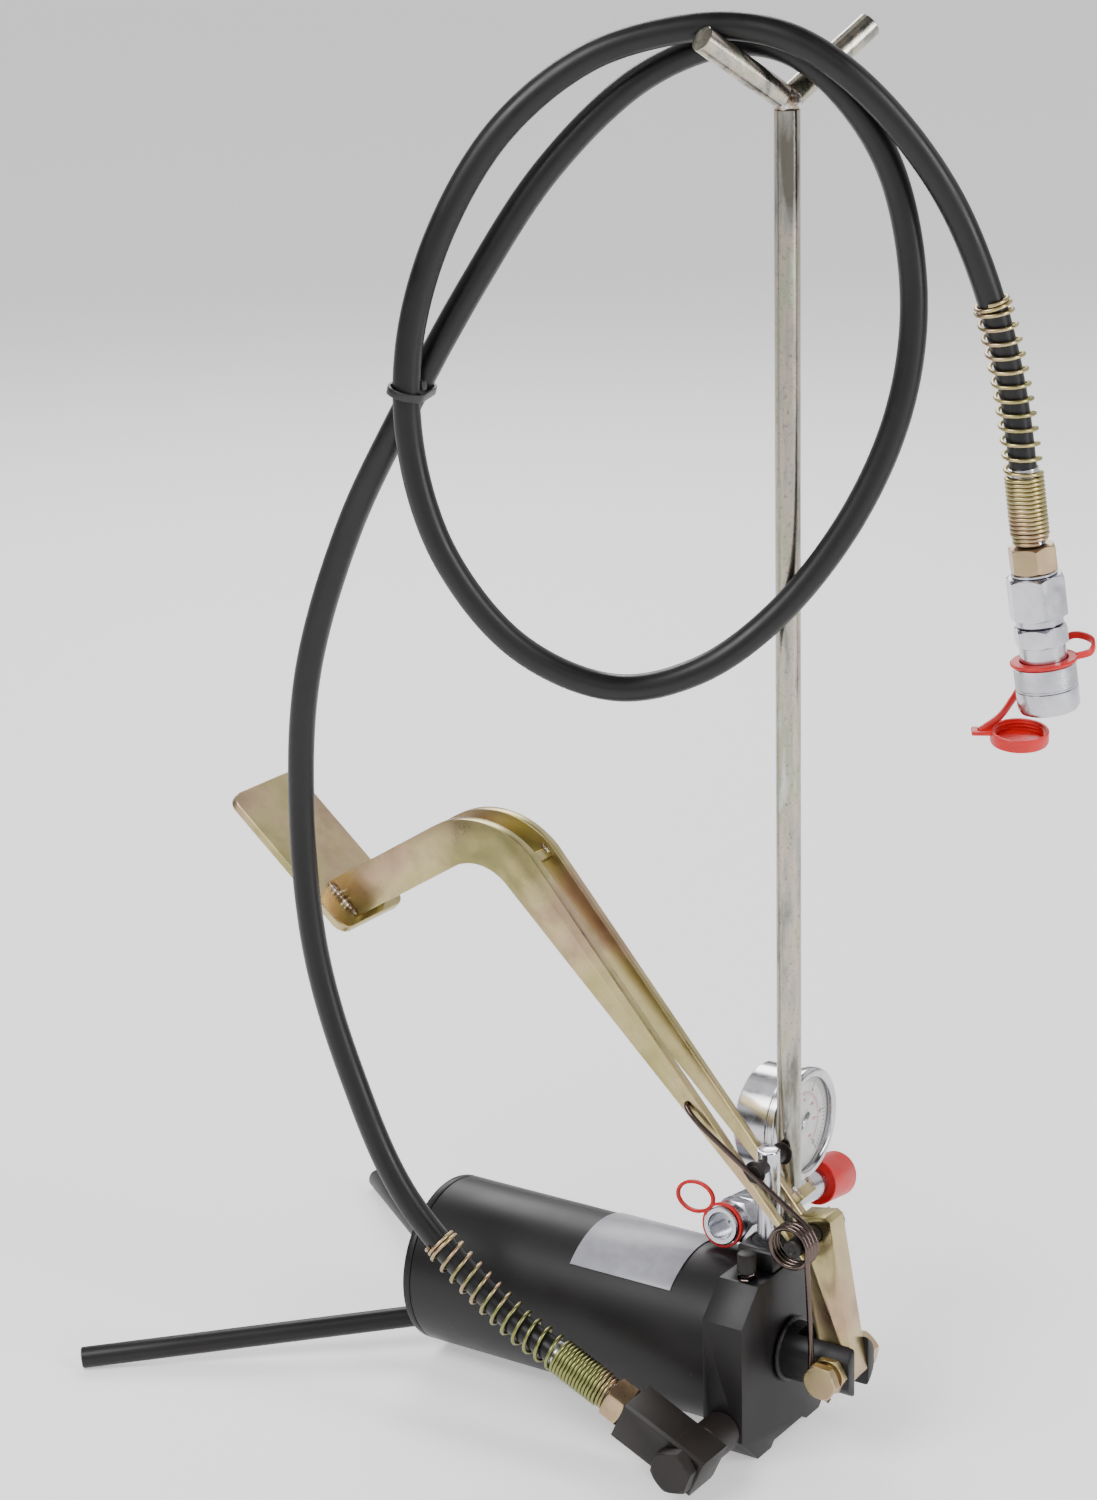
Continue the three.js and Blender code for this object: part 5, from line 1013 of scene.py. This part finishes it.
for side, seed in ((-1, 3.0), (1, 9.0)):
    row = Vector((0, side * 6.9 * MM, 3.2 * MM))
    tilt = Vector((-0.72, 0, 0.69)) * 3.2 * MM
    weld_line("heel_weld_" + ("near" if side < 0 else "far"), heel_middle + row - tilt, heel_middle + row + tilt, 1.3, 4, seed, "lever")

# %% [markdown]
# ## Return spring
# A torsion spring: one leg hooks into the lever, the coil hangs on the pin's end, the other leg runs down
# and hooks under the clevis bolt. It is one wire, so it is one curve: a short hook, a straight, a helix,
# another straight. When the pedal goes down the coil moves with the lever while the lower hook stays.

# %% Return spring
COIL_CENTRE = (15.3, 123.6)
COIL_RADIUS = 11.3
COIL_START_Y = -17.1
COIL_PITCH = 3.15
COIL_ANGLE = 1.0
SPRING_HOLE = (-53.36, 184.67)
WIRE = 1.5


def return_wire():
    hole_x, hole_z = SPRING_HOLE
    points = [
        place(hole_x, -10.4, hole_z), place(hole_x, -14.4, hole_z),
        place(hole_x + 2, COIL_START_Y + 1.4, hole_z - 2), place(hole_x + 6, COIL_START_Y + 0.4, hole_z - 5.2),
        place(hole_x + 14, COIL_START_Y, hole_z - 11),
    ]
    turns = 3 + COIL_ANGLE / (2 * math.pi)
    steps = 76
    for step in range(steps + 1):
        angle = COIL_ANGLE - 2 * math.pi * turns * step / steps
        y = COIL_START_Y - COIL_PITCH * turns * step / steps
        x = COIL_CENTRE[0] + COIL_RADIUS * math.cos(angle)
        points.append(place(x, y, COIL_CENTRE[1] + COIL_RADIUS * math.sin(angle)))
    last_x = COIL_CENTRE[0] + COIL_RADIUS
    last_y = COIL_START_Y - COIL_PITCH * turns
    points += [
        place(last_x, last_y, COIL_CENTRE[1] - 8), place(25.8, (last_y - 20.1) / 2, 89),
        place(24.8, -20.1, 65), place(24.8, -20.1, 51), place(27.4, -20.1, 42.8), place(36.1, -20.1, 38.2),
    ]
    return spline_points(points, 4)


return_spring = tube_curve("return_spring_wire", return_wire(), WIRE * MM, 5)
take(return_spring)
bpy.ops.object.convert(target="MESH")
return_spring = bpy.context.object
return_spring.data.materials.clear()
return_spring.data.materials.append(spring_steel)
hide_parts("return_spring")
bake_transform(return_spring)

# %% [markdown]
# ## Tank and legs
# The tank is a rolled tube between head and cap. It is turned with a fine break on each rim. The legs are
# round bar, cut flush where they meet the cap: the bisect tool slices the turned bar on the cap's plane.

# %% Tank
TANK_Z = 50.1
TANK_RADIUS = 47.2
tank_low, tank_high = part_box("reservoir_tube")
tank_length = (tank_high.x - tank_low.x) / MM
tank_profile = [
    (46.2, 0), (46.8, 0.05), (TANK_RADIUS, 0.5), (TANK_RADIUS, tank_length * 0.33), (TANK_RADIUS, tank_length * 0.66),
    (TANK_RADIUS, tank_length - 0.5), (46.8, tank_length - 0.05), (46.2, tank_length),
    (44.2, tank_length), (44.2, 0), (46.2, 0),
]
tank_rear = Vector((tank_low.x, 0, TANK_Z * MM))
tank = turned("tank_tube", tank_profile, tank_rear, (1, 0, 0), 128)
give(tank, satin_black, "reservoir_tube")
cap_plate_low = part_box("reservoir_end_cap")[0]
cap_rear = Vector((cap_plate_low.x, 0, TANK_Z * MM))
end_cap = turned(
    "tank_end_cap",
    [(0.5, 0), (45.6, 0), (46.9, 0.5), (TANK_RADIUS, 1.4), (TANK_RADIUS, 4.3), (46.9, 4.85), (43.6, 4.9), (43.6, 12.8), (0.5, 12.8)],
    cap_rear, (1, 0, 0), 128,
)
give(end_cap, satin_black, "reservoir_end_cap")
filler = hexagon("filler_hex", 18, 6, cap_rear + Vector((-0.0063, 0, 0.024)), (1, 0, 0), 0.3)
give(filler, oiled_black, "filler_plug")

# %% Legs
LEG_RADIUS = 6
for side, label in ((-1, "near"), (1, "far")):
    root = Vector((cap_plate_low.x, side * 17 * MM, 21 * MM))
    tip = place(-379, side * 141, LEG_RADIUS)
    reach = (root - tip).length / MM
    bar_profile = [(0.4, 0), (5.2, 0), (5.8, 0.3), (LEG_RADIUS, 0.9)]
    bar_profile += [(LEG_RADIUS, reach * share) for share in (0.3, 0.6, 0.9)]
    bar_profile += [(LEG_RADIUS, reach + 20), (0.4, reach + 20)]
    leg = turned("leg_bar_" + label, bar_profile, tip, root - tip, 48)
    take(leg)
    bpy.ops.object.mode_set(mode="EDIT")
    bpy.ops.mesh.select_all(action="SELECT")
    bpy.ops.mesh.bisect(plane_co=(cap_plate_low.x - 0.0002, 0, 0), plane_no=(1, 0, 0), use_fill=True, clear_outer=True)
    bpy.ops.object.mode_set(mode="OBJECT")
    give(smooth(leg), satin_black, "leg_" + label)
    bead = weld_ring("leg_weld_" + label, root + Vector((-0.0016, side * 0.0012, 0)), (1, 0, 0), 7.2, 1.7, 14, side * 4.0, 0.8)
    give(bead, satin_black, body="pump")

# %% [markdown]
# ## Label
# A thin silver-grey film is stuck on the tank's shoulder. It carries no writing here.

# %% Label
label = rounded_copy("reservoir_label", "label_plate", 0.12, 2)
give(label, label_film, "reservoir_label")

# %% [markdown]
# ## Stand rod and fork
# The rod is drawn bar; the fork's two stubs were sawn off and welded on in a V. The saw leaves a burred
# flat, and the weld leaves a brown lump with silver drops. The lump is a sphere pushed about by noise.

# %% Rod and fork
ROD_RADIUS = 6.5
rod_low, rod_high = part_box("stand_rod")
rod_foot = Vector(((rod_low.x + rod_high.x) / 2, (rod_low.y + rod_high.y) / 2, rod_low.z))
rod_length = (rod_high.z - rod_low.z) / MM
rod_profile = [(0.4, 0), (ROD_RADIUS - 0.4, 0), (ROD_RADIUS, 0.4)]
rod_profile += [(ROD_RADIUS, rod_length * share) for share in (0.25, 0.5, 0.75)]
rod_profile += [(ROD_RADIUS, rod_length + 4), (0.4, rod_length + 4)]
rod = turned("upright_rod", rod_profile, rod_foot, (0, 0, 1), 64)
give(rod, clear_zinc, "stand_rod")
knot_low, knot_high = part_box("fork_knuckle")
knot = (knot_low + knot_high) / 2
FORK_AZIMUTH = 1.152
for side, label_name in ((-1, "near"), (1, "far")):
    reach = Vector((side * 50 * math.cos(FORK_AZIMUTH), side * 50 * math.sin(FORK_AZIMUTH), 32.5))
    length = reach.length
    stub_profile = [(0.4, 4), (ROD_RADIUS, 4), (ROD_RADIUS, length * 0.6), (ROD_RADIUS, length - 0.35), (ROD_RADIUS - 0.3, length), (0.4, length)]
    stub = turned("fork_bar_" + label_name, stub_profile, knot, reach, 64)
    give(stub, clear_zinc, "fork_stub_" + label_name)
deselect()
bpy.ops.mesh.primitive_ico_sphere_add(subdivisions=5, radius=8.1 * MM, location=(0, 0, 0))
weld_lump = bpy.context.object
for vertex in weld_lump.data.vertices:
    push = noise.noise(vertex.co * 260) * 0.07 + noise.noise(vertex.co * 700) * 0.035
    vertex.co *= 0.93 + push
settle(weld_lump, "fork_weld", Matrix.Translation(knot))
give(smooth(weld_lump, 60), weld_bead, "fork_knuckle")

# %% [markdown]
# ## Hose block fittings
# A hollow bolt clamps the block to its spacer; the hose leaves the block's other end through a plated nut.

# %% Fittings
banjo = hexagon("banjo_head", 22, 7.8, place(-12, -103.4, 21.5), (0, 1, 0), 0.35)
give(banjo, oiled_black, "banjo_bolt")
spacer = turned("port_spacer", [(7.4, 0), (10.4, 0), (10.9, 0.5), (10.9, 19.4), (10.4, 19.9), (7.4, 19.9), (7.4, 0)], place(-12, -69.8, 21.5), (0, 1, 0))
give(spacer, oiled_black, "port_adapter")
pump_nut = hexagon("pump_hose_nut", 22, HOSE_NUT, PORT + hose_axis * (BLOCK_BEHIND + 0.3) * MM, hose_axis, 0.2)
give(pump_nut, yellow_zinc, "hose_nut_pump")

# %% [markdown]
# ## Tee and gauge
# The gauge stands on a steel tee that was screwed up slightly askew, so the whole group leans. All of it
# is built upright in the tee's own frame and then leaned over in one move. The gauge is a liquid-filled
# one: a polished bezel, a deep case, a white dial with an outer black and an inner red scale.

# %% Tee frame
TEE_LEAN = 0.15
tee_frame = Matrix.Translation(place(-43.5, 2.2, 110.6)) @ Matrix.Rotation(-TEE_LEAN, 4, "X")


def in_tee(x, y, z):
    return tee_frame @ (Vector((x, y, z)) * MM)


tee_axis = (tee_frame.to_3x3() @ Vector((0, 1, 0))).normalized()
tee_up = (tee_frame.to_3x3() @ Vector((0, 0, 1))).normalized()

# %% Tee
BRANCH = 49.2
tee_hex = hexagon("tee_body_hex", 22, 44, in_tee(0, 22, 0), tee_axis, math.pi / 6)
give(tee_hex, bright_steel, "gauge_tee")
tee_branch = turned("tee_branch", [(1, 0), (7.7, 0), (7.7, 13), (7.2, 13.9), (1, 13.9)], in_tee(0, BRANCH, 0), tee_up, 48)
give(tee_branch, bright_steel, body="pump")
tee_nipple = turned("tee_port_nipple", [(1, 9), (4.4, 9), (4.4, 20.6), (1, 20.6)], in_tee(0, 27.7, 0), (1, 0, 0), 40)
give(tee_nipple, bright_steel, body="pump")
far_profile = [(1, 65), (9, 65), (9, 74), (8.2, 75), (8.2, 78), (9, 79), (9, 100), (8.2, 101), (8.2, 120), (1, 121)]
tee_far = turned("tee_far_nipple", far_profile, in_tee(0, 0, 0), tee_axis, 56)
give(tee_far, bright_steel, body="pump")
near_hex = hexagon("tee_coupler_hex", 22, 9.7, in_tee(0, 12, 0), tee_axis, math.pi / 6)
give(near_hex, bright_steel, "tee_coupler")
near_profile = [(7.1, 10), (7.1, 0.6), (7.6, 0.1), (9.8, 0.1), (10.5, 0.8), (10.5, 3.4), (9.6, 4.2), (9.6, 6.4), (10.5, 7.2), (10.5, 12.4), (7.1, 12.4), (1, 12.4), (1, 10), (7.1, 10)]
near_sleeve = turned("tee_coupler_sleeve", near_profile, in_tee(0, 0, 0), tee_axis, 64)
give(near_sleeve, bright_steel, body="pump")
red_cap_profile = [(9.4, 106.1), (12.6, 106.1), (13, 106.6), (13, 130.4), (12.2, 132), (9, 132.9), (0.5, 133)]
red_cap = turned("tee_cap_shell", red_cap_profile, in_tee(0, 0, 0), tee_axis, 64)
give(red_cap, red_plastic, "tee_cap")

# %% Red strap on the near coupler
strap_ring = turned(
    "tee_strap_ring", [(10.9, 1.9), (12.0, 1.9), (12.4, 2.3), (12.4, 3.7), (12.0, 4.1), (10.9, 4.1), (10.9, 1.9)],
    in_tee(0, 0, 0), tee_axis,
)
give(strap_ring, red_plastic, "tee_strap")
loop_points = []
LOOP_STEPS = 16
for step in range(LOOP_STEPS + 1):
    angle = -0.5 * math.pi + 2.0 * math.pi * step / LOOP_STEPS - 0.9
    loop_points.append(in_tee(-18 + 11 * math.cos(angle), 3.0, 12 + 8 * math.sin(angle)))
ribbon("tee_strap_loop", loop_points, 2.4, 2.0, tee_axis, red_plastic, "pump")

# %% Gauge case
GAUGE_Z = 51
FACE_X = 23.8
hub = in_tee(FACE_X, BRANCH, GAUGE_Z)
out = Vector((1, 0, 0))
case_profile = [
    (1, -31.9), (26.8, -31.9), (28.4, -31.4), (29.4, -30.0), (29.4, -12), (28.9, -11.4), (28.9, -10.6), (29.4, -10), (29.4, -7.2), (27.9, -7.2),
    (27.9, -30), (1, -30),
]
case = turned("gauge_shell", case_profile, hub, out, 96)
give(case, stainless, "gauge_case")
bezel_profile = [
    (28.2, -6.7), (30.6, -6.7), (31.35, -5.6), (31.35, -2.2), (30.9, -1.0), (30.0, -0.35), (28.6, -0.1), (27.2, -0.3),
    (26.2, -1.0), (26.0, -1.6), (27.8, -1.7), (27.8, -6.7), (28.2, -6.7),
]
bezel = turned("gauge_ring", bezel_profile, hub, out, 128, 0.0, 50)
give(bezel, stainless, "gauge_bezel")
stem = hexagon("gauge_square", 14, 9, in_tee(0, BRANCH, 14.2), tee_up, 0.5)
give(stem, stainless, body="pump")
plug = turned("gauge_vent", [(0.4, 29.6), (3.1, 29.6), (3.1, 31.3), (2.3, 31.8), (0.4, 31.8)], in_tee(FACE_X - 19.5, BRANCH, GAUGE_Z), tee_up, 32)
give(plug, seal_rubber, "gauge_fill_plug")

# %% [markdown]
# The dial's print is thin raised pieces, a tenth of a millimetre thick: ticks from a loop, and numbers
# from text objects that are turned into meshes. Zero sits down to the left and the scale sweeps clockwise
# through three quarters of a turn.

# %% Dial print
DIAL_FACE = -5.45
ZERO = math.radians(225)
SWEEP = math.radians(270)
dial_right = (tee_frame.to_3x3() @ Vector((0, 1, 0))).normalized()


def on_dial(share, radius, lift=0.0):
    """A point on the dial: share 0 to 1 along the scale, radius in millimetres."""
    angle = ZERO - SWEEP * share
    flat = dial_right * math.cos(angle) + tee_up * math.sin(angle)
    return hub + out * (DIAL_FACE + lift) * MM + flat * radius * MM, angle


dial = turned("dial_disc", [(1.4, DIAL_FACE - 0.9), (27.3, DIAL_FACE - 0.9), (27.3, DIAL_FACE), (1.4, DIAL_FACE), (1.4, DIAL_FACE - 0.9)], hub, out, 96)
give(dial, dial_white, "gauge_dial")


def dial_frame(point, angle):
    """A piece drawn flat in X and Y, laid on the dial with its Y axis pointing outwards."""
    outward = dial_right * math.cos(angle) + tee_up * math.sin(angle)
    along = outward.cross(out)
    turn = Matrix((along, outward, out)).transposed().to_4x4()
    return Matrix.Translation(point) @ turn


def print_bar(share, radius, length, width):
    deselect()
    bpy.ops.mesh.primitive_cube_add(size=1, scale=(width * MM, length * MM, 0.1 * MM))
    point, angle = on_dial(share, radius, 0.06)
    bar = bpy.context.object
    settle(bar, "tick")
    bar.data.transform(dial_frame(point, angle))
    return bar


def join_pieces(pieces, name):
    take(pieces[0])
    for piece in pieces:
        piece.select_set(True)
    bpy.ops.object.join()
    return settle(bpy.context.object, name)


OUTER_TICKS = 50
black_ticks = [print_bar(i / OUTER_TICKS, 23.6 if i % 10 else 23.0, 2.0 if i % 10 else 3.4, 0.28 if i % 10 else 0.6) for i in range(OUTER_TICKS + 1)]
give(join_pieces(black_ticks, "dial_outer_scale"), ink_black, body="pump")
INNER_TICKS = 42
red_ticks = [print_bar(i / INNER_TICKS, 16.4, 1.2 if i % 7 else 2.2, 0.24 if i % 7 else 0.5) for i in range(INNER_TICKS + 1)]
ARC_STEPS = 90
for i in range(ARC_STEPS):
    red_ticks.append(print_bar((i + 0.5) / ARC_STEPS, 17.3, 0.22, 17.3 * SWEEP / ARC_STEPS * 1.05))
give(join_pieces(red_ticks, "dial_inner_scale"), ink_red, body="pump")


def print_number(text, share, radius, size, material, name):
    deselect()
    bpy.ops.object.text_add()
    words = bpy.context.object
    words.data.body = text
    words.data.size = size * MM
    words.data.align_x = "CENTER"
    words.data.align_y = "CENTER"
    words.data.extrude = 0.05 * MM
    words.data.offset = 0.00004
    bpy.ops.object.convert(target="MESH")
    words = bpy.context.object
    point, _ = on_dial(share, radius, 0.06)
    words.data.transform(dial_frame(point, math.pi / 2))
    settle(words, name)
    return give(words, material, body="pump")


for i in range(6):
    print_number(str(i * 2), i / 5, 19.4, 3.4, ink_black, f"dial_black_{i}")
for i in range(1, 7):
    print_number(str(i * 25), i / 6, 12.8, 2.4, ink_red, f"dial_red_{i}")

# %% Needle and glass
NEEDLE = [(-1.1, -7), (1.1, -7), (1.6, -4), (0.5, -1), (0.5, 8), (0.25, 20.6), (-0.25, 20.6), (-0.5, 8), (-0.5, -1), (-1.6, -4)]
deselect()
bpy.ops.mesh.primitive_circle_add(vertices=len(NEEDLE), radius=0.01, fill_type="NGON")
blade = bpy.context.object
for vertex, (x, y) in zip(blade.data.vertices, NEEDLE):
    vertex.co = (x * MM, y * MM, 0)
apply_modifier(blade, "SOLIDIFY", thickness=0.5 * MM, offset=0)
settle(blade, "needle_blade")
point, angle = on_dial(0.0, 0.0, 1.2)
blade.data.transform(dial_frame(point, ZERO + 0.02))
give(blade, ink_black, "gauge_needle")
boss_hub = turned("needle_hub", [(0.3, 0.8), (2.6, 0.8), (2.8, 1.0), (2.8, 1.9), (2.4, 2.2), (0.3, 2.3)], hub + out * DIAL_FACE * MM, out, 40)
give(boss_hub, stainless, body="needle")
glass = turned("gauge_window", [(0.4, -3.2), (27.4, -3.2), (27.4, -1.8), (0.4, -1.7)], hub, out, 96)
give(glass, window, "gauge_glass")
liquid = turned("liquid_line", [(26.9, -3.6), (27.2, -3.6), (27.2, -3.4), (26.9, -3.4), (26.9, -3.6)], hub, out, 64)
give(liquid, stainless, body="pump")

# %% [markdown]
# ## Studio
# A plain pale floor, a surround, and three soft lights. Metal only looks like metal when it has both dark
# and light to reflect, so the surround is broken into large bright panels with dark gaps between them.
# What the camera sees behind the object stays plain and pale.

# %% Floor
deselect()
bpy.ops.mesh.primitive_plane_add(size=80, location=(0, 0, 0))
floor = bpy.context.object
floor.name = "floor"
floor_paint = new_finish("floor_paint", (0.9, 0.9, 0.9), 0.8, Emission_Strength=0.5)
floor_paint.node_tree.nodes["Principled BSDF"].inputs["Emission Color"].default_value = (1, 1, 1, 1)
floor.data.materials.append(floor_paint)

# %% World
world = bpy.data.worlds.new("studio")
bpy.context.scene.world = world
world.use_nodes = True
tree = world.node_tree
surround = tree.nodes["Background"]
coords = tree.nodes.new("ShaderNodeTexCoord")
panels = tree.nodes.new("ShaderNodeTexNoise")
panels.inputs["Scale"].default_value = 1.7
panels.inputs["Detail"].default_value = 1.0
ramp = tree.nodes.new("ShaderNodeValToRGB")
ramp.color_ramp.elements[0].position = 0.42
ramp.color_ramp.elements[0].color = (0.05, 0.048, 0.045, 1)
ramp.color_ramp.elements[1].position = 0.58
ramp.color_ramp.elements[1].color = (1.25, 1.25, 1.28, 1)
path = tree.nodes.new("ShaderNodeLightPath")
plain = tree.nodes.new("ShaderNodeBackground")
plain.inputs["Strength"].default_value = 3.0
choose = tree.nodes.new("ShaderNodeMixShader")
tree.links.new(coords.outputs["Generated"], panels.inputs["Vector"])
tree.links.new(panels.outputs["Fac"], ramp.inputs["Fac"])
tree.links.new(ramp.outputs["Color"], surround.inputs["Color"])
surround.inputs["Strength"].default_value = 0.9
tree.links.new(path.outputs["Is Camera Ray"], choose.inputs[0])
tree.links.new(surround.outputs[0], choose.inputs[1])
tree.links.new(plain.outputs[0], choose.inputs[2])
tree.links.new(choose.outputs[0], tree.nodes["World Output"].inputs["Surface"])


# %% Lights
def soft_light(name, position, target, size, power):
    data = bpy.data.lights.new(name, "AREA")
    data.shape = "RECTANGLE"
    data.size = size[0]
    data.size_y = size[1]
    data.energy = power
    lamp = bpy.data.objects.new(name, data)
    bpy.context.scene.collection.objects.link(lamp)
    lamp.location = position
    lamp.rotation_euler = (Vector(target) - Vector(position)).to_track_quat("-Z", "Y").to_euler()
    return lamp


soft_light("key", (-0.5, -1.7, 2.2), (0, 0, 0.3), (1.5, 1.0), 55)
soft_light("side", (2.3, 0.2, 1.3), (0, 0, 0.3), (0.5, 1.8), 36)
soft_light("back", (-1.4, 1.8, 2.0), (0, 0, 0.35), (1.6, 1.2), 45)
